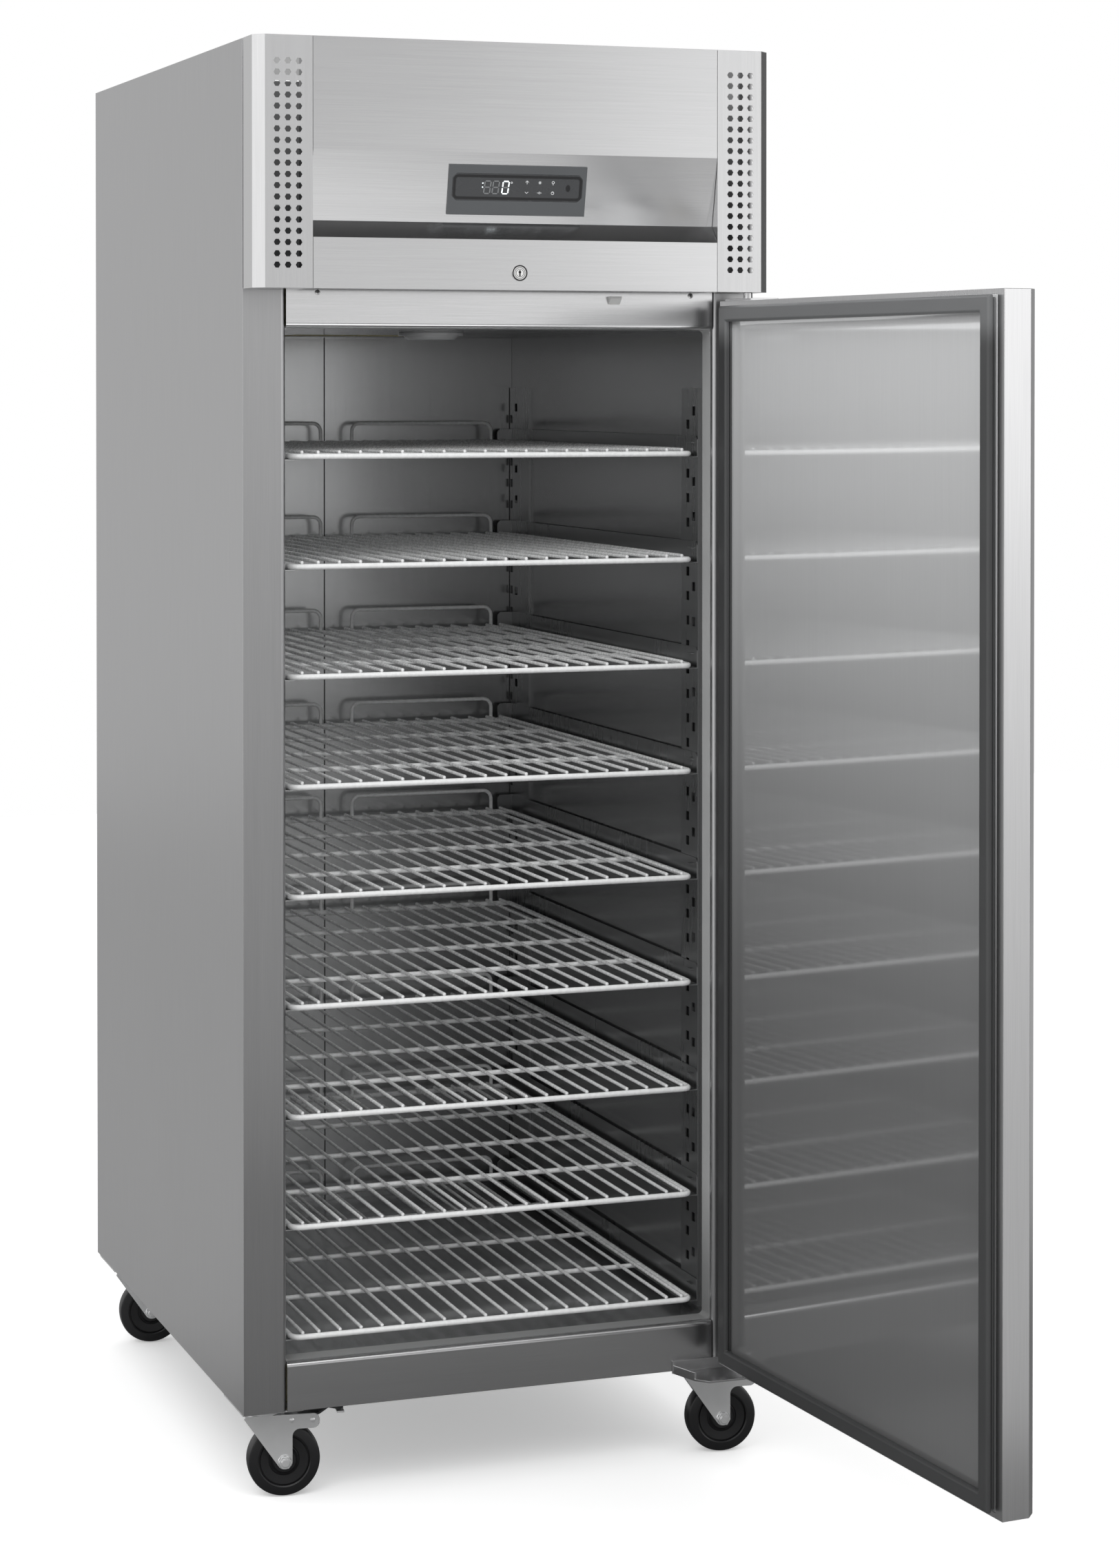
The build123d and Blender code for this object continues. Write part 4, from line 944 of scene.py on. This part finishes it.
nickel = plated("nickel", (0.96, 0.955, 0.945), 0.2, metal=0.8)
dressed("lock_housing", "lock_flange", nickel, edge=0.0006, steps=3)
dressed("lock_barrel", "lock_plug", nickel, edge=0.0004)
lock_joint = next(joint for joint in frame["joints"] if joint["name"] == "lock_turn")
lock_centre = (lock_joint["pos_m"][0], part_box("lock_barrel")[0].y, lock_joint["pos_m"][2])
lock_place = Matrix.Translation(lock_centre) @ Matrix.Rotation(pi / 2, 4, "X")
painted_gap_shade = plastic("painted_gap_shade", (0.015, 0.015, 0.016), 0.5)
mark_low = -0.0001
mark_high = 0.00015
key_slot = block_piece("key_slot", (-0.001, -0.0046, mark_low), (0.001, 0.001, mark_high), edge=0)
key_hole = turned("key_hole", [(0.0019, mark_low), (0.0019, mark_high), (0, mark_high)], segments=24)
key_hole.data.transform(Matrix.Translation((0, 0.0012, 0)))
plug_ring = ring("plug_ring", 0.0056, 0.0050, mark_low, mark_high)
plug_gap_shade = ring("plug_gap_shade", 0.0078, 0.0071, mark_low, mark_high)
flange_shadow = ring("flange_shadow", 0.0109, 0.0089, mark_low, mark_high)
for name, marks, body in (
    ("plug_marks", [key_slot, key_hole, plug_ring], "lock_plug"),
    ("flange_marks", [plug_gap_shade, flange_shadow], "service_panel"),
):
    grooves = joined(marks, name)
    grooves.data.transform(lock_place)
    finish_piece(grooves, body, painted_gap_shade)


# Header screws: two pan heads with a cross recess, just under the fascia, that hold the header strip.
# Each recess is a black block set in the head: painted shade.
screw_steel = plated("screw_steel", (0.5, 0.5, 0.5), 0.3)
screw_height = 1.641
head_profile = [(0.0036, -0.0002), (0.0036, 0.0008), (0.0026, 0.0015), (0, 0.0017)]
recess_reach = 0.002
recess_half = 0.0004
recess_floor = 0.0012
recess_top = 0.0018
heads = []
recesses = []
for screw_x in (-0.266, 0.276):
    screw_place = Matrix.Translation((screw_x, stile_y, screw_height)) @ Matrix.Rotation(pi / 2, 4, "X")
    heads.append(turned("head", head_profile, segments=24))
    heads[-1].data.transform(screw_place)
    for half_x, half_y in ((recess_half, recess_reach), (recess_reach, recess_half)):
        recess = block_piece("recess", (-half_x, -half_y, recess_floor), (half_x, half_y, recess_top), edge=0)
        recess.data.transform(screw_place)
        recesses.append(recess)
finish_piece(joined(heads, "header_screws"), "cabinet", screw_steel)
finish_piece(joined(recesses, "screw_recess_shade"), "cabinet", painted_gap_shade)


# Hinge brackets: pressed steel plates. The upper socket hides in the fascia's foot, the lower one carries
# the pin under the door, and the door's own pair is let into its ends.
dressed("hinge_brackets", "cabinet_hinges", column_steel, edge=0.0008)
dressed("door_hinge_brackets", "door_hinges", column_steel, edge=0.0008)


# Machinery on top: a condenser with its fan behind the service panel, the compressor, and the
# insulated box that holds the evaporator and its fan. The compartment is open above.
def painted(name, tone, roughness):
    """Sprayed paint with a light orange peel and dust on it."""
    material, tree, shader = new_material(name)
    dust = noise(tree, 9, 5)
    link(tree, toned(tree, tone, spread(tree, dust, 0, 1), 0.12), shader.inputs["Base Color"])
    link(tree, spread(tree, dust, roughness - 0.06, roughness + 0.1), shader.inputs["Roughness"])
    bumped(tree, shader, noise(tree, 320), 0.0001)
    return material


black_enamel = painted("black_enamel", (0.02, 0.02, 0.022), 0.32)
fin_metal = plated("fin_metal", (0.72, 0.73, 0.75), 0.35)
copper = plated("copper", (0.72, 0.43, 0.3), 0.28, contrast=0.12)
black_fan = plastic("black_fan", (0.03, 0.03, 0.032), 0.45)
grey_box = plastic("grey_box", (0.3, 0.31, 0.32), 0.5)
# The evaporator box gets a dark tone so that the air holes look dark: painted shade.
painted_shade_box = painted("painted_shade_box", (0.09, 0.09, 0.092), 0.5)
black_gland = plastic("black_gland", (0.025, 0.025, 0.026), 0.5)
for node, name, material, edge in (
    ("evaporator_housing", "evaporator_box", painted_shade_box, 0.003),
    ("evaporator_coil", "evaporator_fins", fin_metal, 0),
    ("evaporator_fan", "evaporator_blades", black_fan, 0.0008),
    ("condenser_coil", "condenser_fins", fin_metal, 0),
    ("condenser_shroud", "fan_shroud", zinc_sheet, 0.0005),
    ("condenser_fan", "condenser_blades", black_fan, 0.0008),
    ("compressor", "compressor_shell", black_enamel, 0.003),
    ("electrical_box", "terminal_box", grey_box, 0.002),
    ("refrigerant_pipes", "copper_pipes", copper, 0.0015),
    ("mains_inlet", "cable_gland", black_gland, 0.001),
):
    dressed(node, name, material, edge=edge)


# Top brace: a grey painted channel that ties the side sheets together behind the fascia. It is what
# shows light through the top rows of air holes.
brace_face = -0.32
brace_depth = 0.03
brace_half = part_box("machine_deck")[1].x
brace_low = 1.94
brace_high = 1.9785
brace_sheet = 0.0015
pale_paint = painted("pale_paint", (0.42, 0.42, 0.42), 0.4)
web_back = brace_face + brace_sheet
web = block_piece("web", (-brace_half, brace_face, brace_low), (brace_half, web_back, brace_high))
flange_corner = (-brace_half, brace_face, brace_high - brace_sheet)
flange = block_piece("flange", flange_corner, (brace_half, brace_face + brace_depth, brace_high))
finish_piece(joined([web, flange], "top_brace"), "cabinet", pale_paint)


# Foam: the polyurethane between the skins. It is closed in on all sides and keeps its plain solid.
foam, tree, shader = new_material("foam")
coords = tree.nodes.new("ShaderNodeTexCoord")
cells = tree.nodes.new("ShaderNodeTexVoronoi")
cells.inputs["Scale"].default_value = 700
link(tree, coords.outputs["Object"], cells.inputs["Vector"])
link(tree, toned(tree, (0.8, 0.72, 0.5), cells.outputs["Distance"], 0.15), shader.inputs["Base Color"])
shader.inputs["Roughness"].default_value = 0.9
for node in ("foam_insulation", "door_core"):
    frame["nodes"][node].data.materials.clear()
    frame["nodes"][node].data.materials.append(foam)


# Casters: zinc-plated pressings that swivel on a ball race, with a hex bolt for an axle and black rubber
# wheels with a groove round the web. They stand turned a little, as the photo shows.
zinc_plate = plated("zinc_plate", (0.9, 0.905, 0.91), 0.24, contrast=0.03, scale=30, metal=0.7)
dressed("caster_plates", "caster_mounts", zinc_plate, edge=0.0008)
corners = ("front_left", "front_right", "rear_left", "rear_right")
black_rubber = plastic("black_rubber", (0.011, 0.011, 0.012), 0.36, grain_scale=500, depth=0.00006)
wheel_turn = radians(-8)
wheel_radius = 0.05
half_tread = 0.012
wheel_half = 0.016
web_half = 0.0125
hub_half = 0.0175
groove = 0.0012
half_profile = [
    (0.0052, hub_half),
    (0.0150, hub_half),
    (0.0170, hub_half - 0.002),
    (0.0190, web_half - 0.001),
    (0.0200, web_half - groove),
    (0.0212, web_half),
    (0.0325, web_half + 0.0012),
    (0.0330, web_half - groove),
    (0.0342, web_half - groove),
    (0.0348, wheel_half - 0.001),
    (0.0365, wheel_half),
    (0.0460, wheel_half - 0.001),
    (0.0482, wheel_half - 0.0025),
    (wheel_radius - 0.0004, half_tread - 0.003),
    (wheel_radius, 0.0),
]
mirror_profile = [(radius, -height) for radius, height in reversed(half_profile[:-1])]
for corner in corners:
    axle_joint = next(j for j in frame["joints"] if j["name"] == f"{corner}_roll")
    wheel = turned(f"rubber_wheel_{corner}", half_profile + mirror_profile + [half_profile[0]], segments=96)
    axle = Vector(axle_joint["axis"])
    turn = axle.to_track_quat("Z", "X").to_matrix().to_4x4()
    wheel.data.transform(Matrix.Translation(axle_joint["pos_m"]) @ turn)
    finish_piece(wheel, f"wheel_{corner}", black_rubber, smooth=30)
    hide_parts(f"caster_wheel_{corner}")
    dressed(f"caster_fork_{corner}", f"fork_{corner}", zinc_plate, edge=0.0008)
leg_face = 0.021
trail = 0.027
turn_sideways = Matrix.Rotation(-pi / 2, 4, "X")
swivels = {corner: next(j for j in frame["joints"] if j["name"] == f"{corner}_swivel") for corner in corners}


def on_both_legs(pattern, along, height):
    """Copies a turned piece onto the outer faces of a fork's two legs."""
    copies = []
    for side in (-1, 1):
        copy = moved_copy(pattern, (0, 0, 0))
        facing = Matrix.Rotation(pi if side < 0 else 0, 4, "X")
        copy.data.transform(Matrix.Translation((along, side * leg_face, height)) @ turn_sideways @ facing)
        copies.append(copy)
    return copies


def set_on_caster(piece, corner):
    """Moves a piece drawn about the swivel's axis to a caster, turned as that caster stands."""
    pivot = swivels[corner]["pos_m"]
    piece.data.transform(Matrix.Translation((pivot[0], pivot[1], 0)) @ Matrix.Rotation(wheel_turn, 4, "Z"))


# Caster fittings: a washer and a bolt head on each leg with a black ring between them as painted shade in the
# gap, and two rivets over the pedals on the front casters.
washer = turned("washer", [(0.0098, 0), (0.0098, 0.0006), (0.0092, 0.0012), (0.0064, 0.0012)])
collar_profile = [(0.0062, 0.0055), (0.0062, 0.0068), (0.0056, 0.0074), (0.005, 0.0074), (0.005, 0.0066)]
collar = turned("collar", collar_profile)
gap_shade_ring = ring("gap_shade_ring", 0.0084, 0.0066, 0.001, 0.0014)
rivet = turned("rivet", [(0.0036, 0), (0.0034, 0.0008), (0.002, 0.0014), (0, 0.0015)], segments=20)
rivet_places = ((0.0094, 0.106), (0.038, 0.105))
for corner in corners:
    fittings = on_both_legs(washer, trail, wheel_radius) + on_both_legs(collar, trail, wheel_radius)
    bolt_gap_shades = joined(on_both_legs(gap_shade_ring, trail, wheel_radius), f"bolt_gap_shades_{corner}")
    if corner in corners[:2]:
        for along, height in rivet_places:
            fittings += on_both_legs(rivet, trail + along, height)
    set_on_caster(bolt_gap_shades, corner)
    finish_piece(bolt_gap_shades, f"swivel_{corner}", painted_gap_shade)
    fork_fittings = joined(fittings, f"fork_fittings_{corner}")
    set_on_caster(fork_fittings, corner)
    finish_piece(fork_fittings, f"swivel_{corner}", zinc_plate)
for pattern in (washer, collar, gap_shade_ring, rivet):
    bpy.data.objects.remove(pattern)


# Brake pedals: a black tread on each front caster, with a zinc-plated lip at its free end.
black_tread = plastic("black_tread", (0.03, 0.03, 0.032), 0.5)
lip_low = (0.099, -0.0165, 0.1112)
lip_high = (0.1095, 0.0165, 0.1135)
for corner in corners[:2]:
    dressed(f"brake_pedal_{corner}", f"pedal_{corner}", black_tread, edge=0.0006)
    lip = block_piece(f"pedal_lip_{corner}", lip_low, lip_high, edge=0.0006)
    set_on_caster(lip, corner)
    finish_piece(lip, f"pedal_{corner}", zinc_plate)


# Door: a stainless tray with cut outer corners over a foam core, a shallow dished liner, and hinge plates.
# The liner is smoother than the outside and mirrors the shelves.
door_steel = brushed_steel("door_steel", (0.66, 0.66, 0.665), UP, 0.28)
# The door liner's tone grows from about a third at the bottom to above full at the top: painted light.
door_liner_steel = brushed_steel("door_liner_steel", (0.66, 0.665, 0.67), UP, 0.055, contrast=0.02,
                                 depth=0.000003, metal=0.38, painted_shading=("Z", 0.55, 1.82, 0.38, 1.6))
dressed("door_skin", "door_tray", door_steel, edge=0.0006, smooth=9)
dressed("door_liner", "door_dish", door_liner_steel, edge=0.002, steps=3)
grip_plastic = plastic("grip_plastic", (0.06, 0.06, 0.063), 0.4)
dressed("grip_cup", "grip_cup", grip_plastic, edge=0.0015, steps=3)


# Door gasket: grey magnetic rubber, snapped into the liner's edge all round.
# The gasket's top run is three times lighter than the rest: painted light.
gasket_rubber = plastic("gasket_rubber", (0.05, 0.051, 0.052), 0.4, grain_scale=400, depth=0.00004,
                        painted_shading=("Z", 1.56, 1.6, 1, 3))
dressed("door_gasket", "magnetic_gasket", gasket_rubber, edge=0.0025, steps=3)
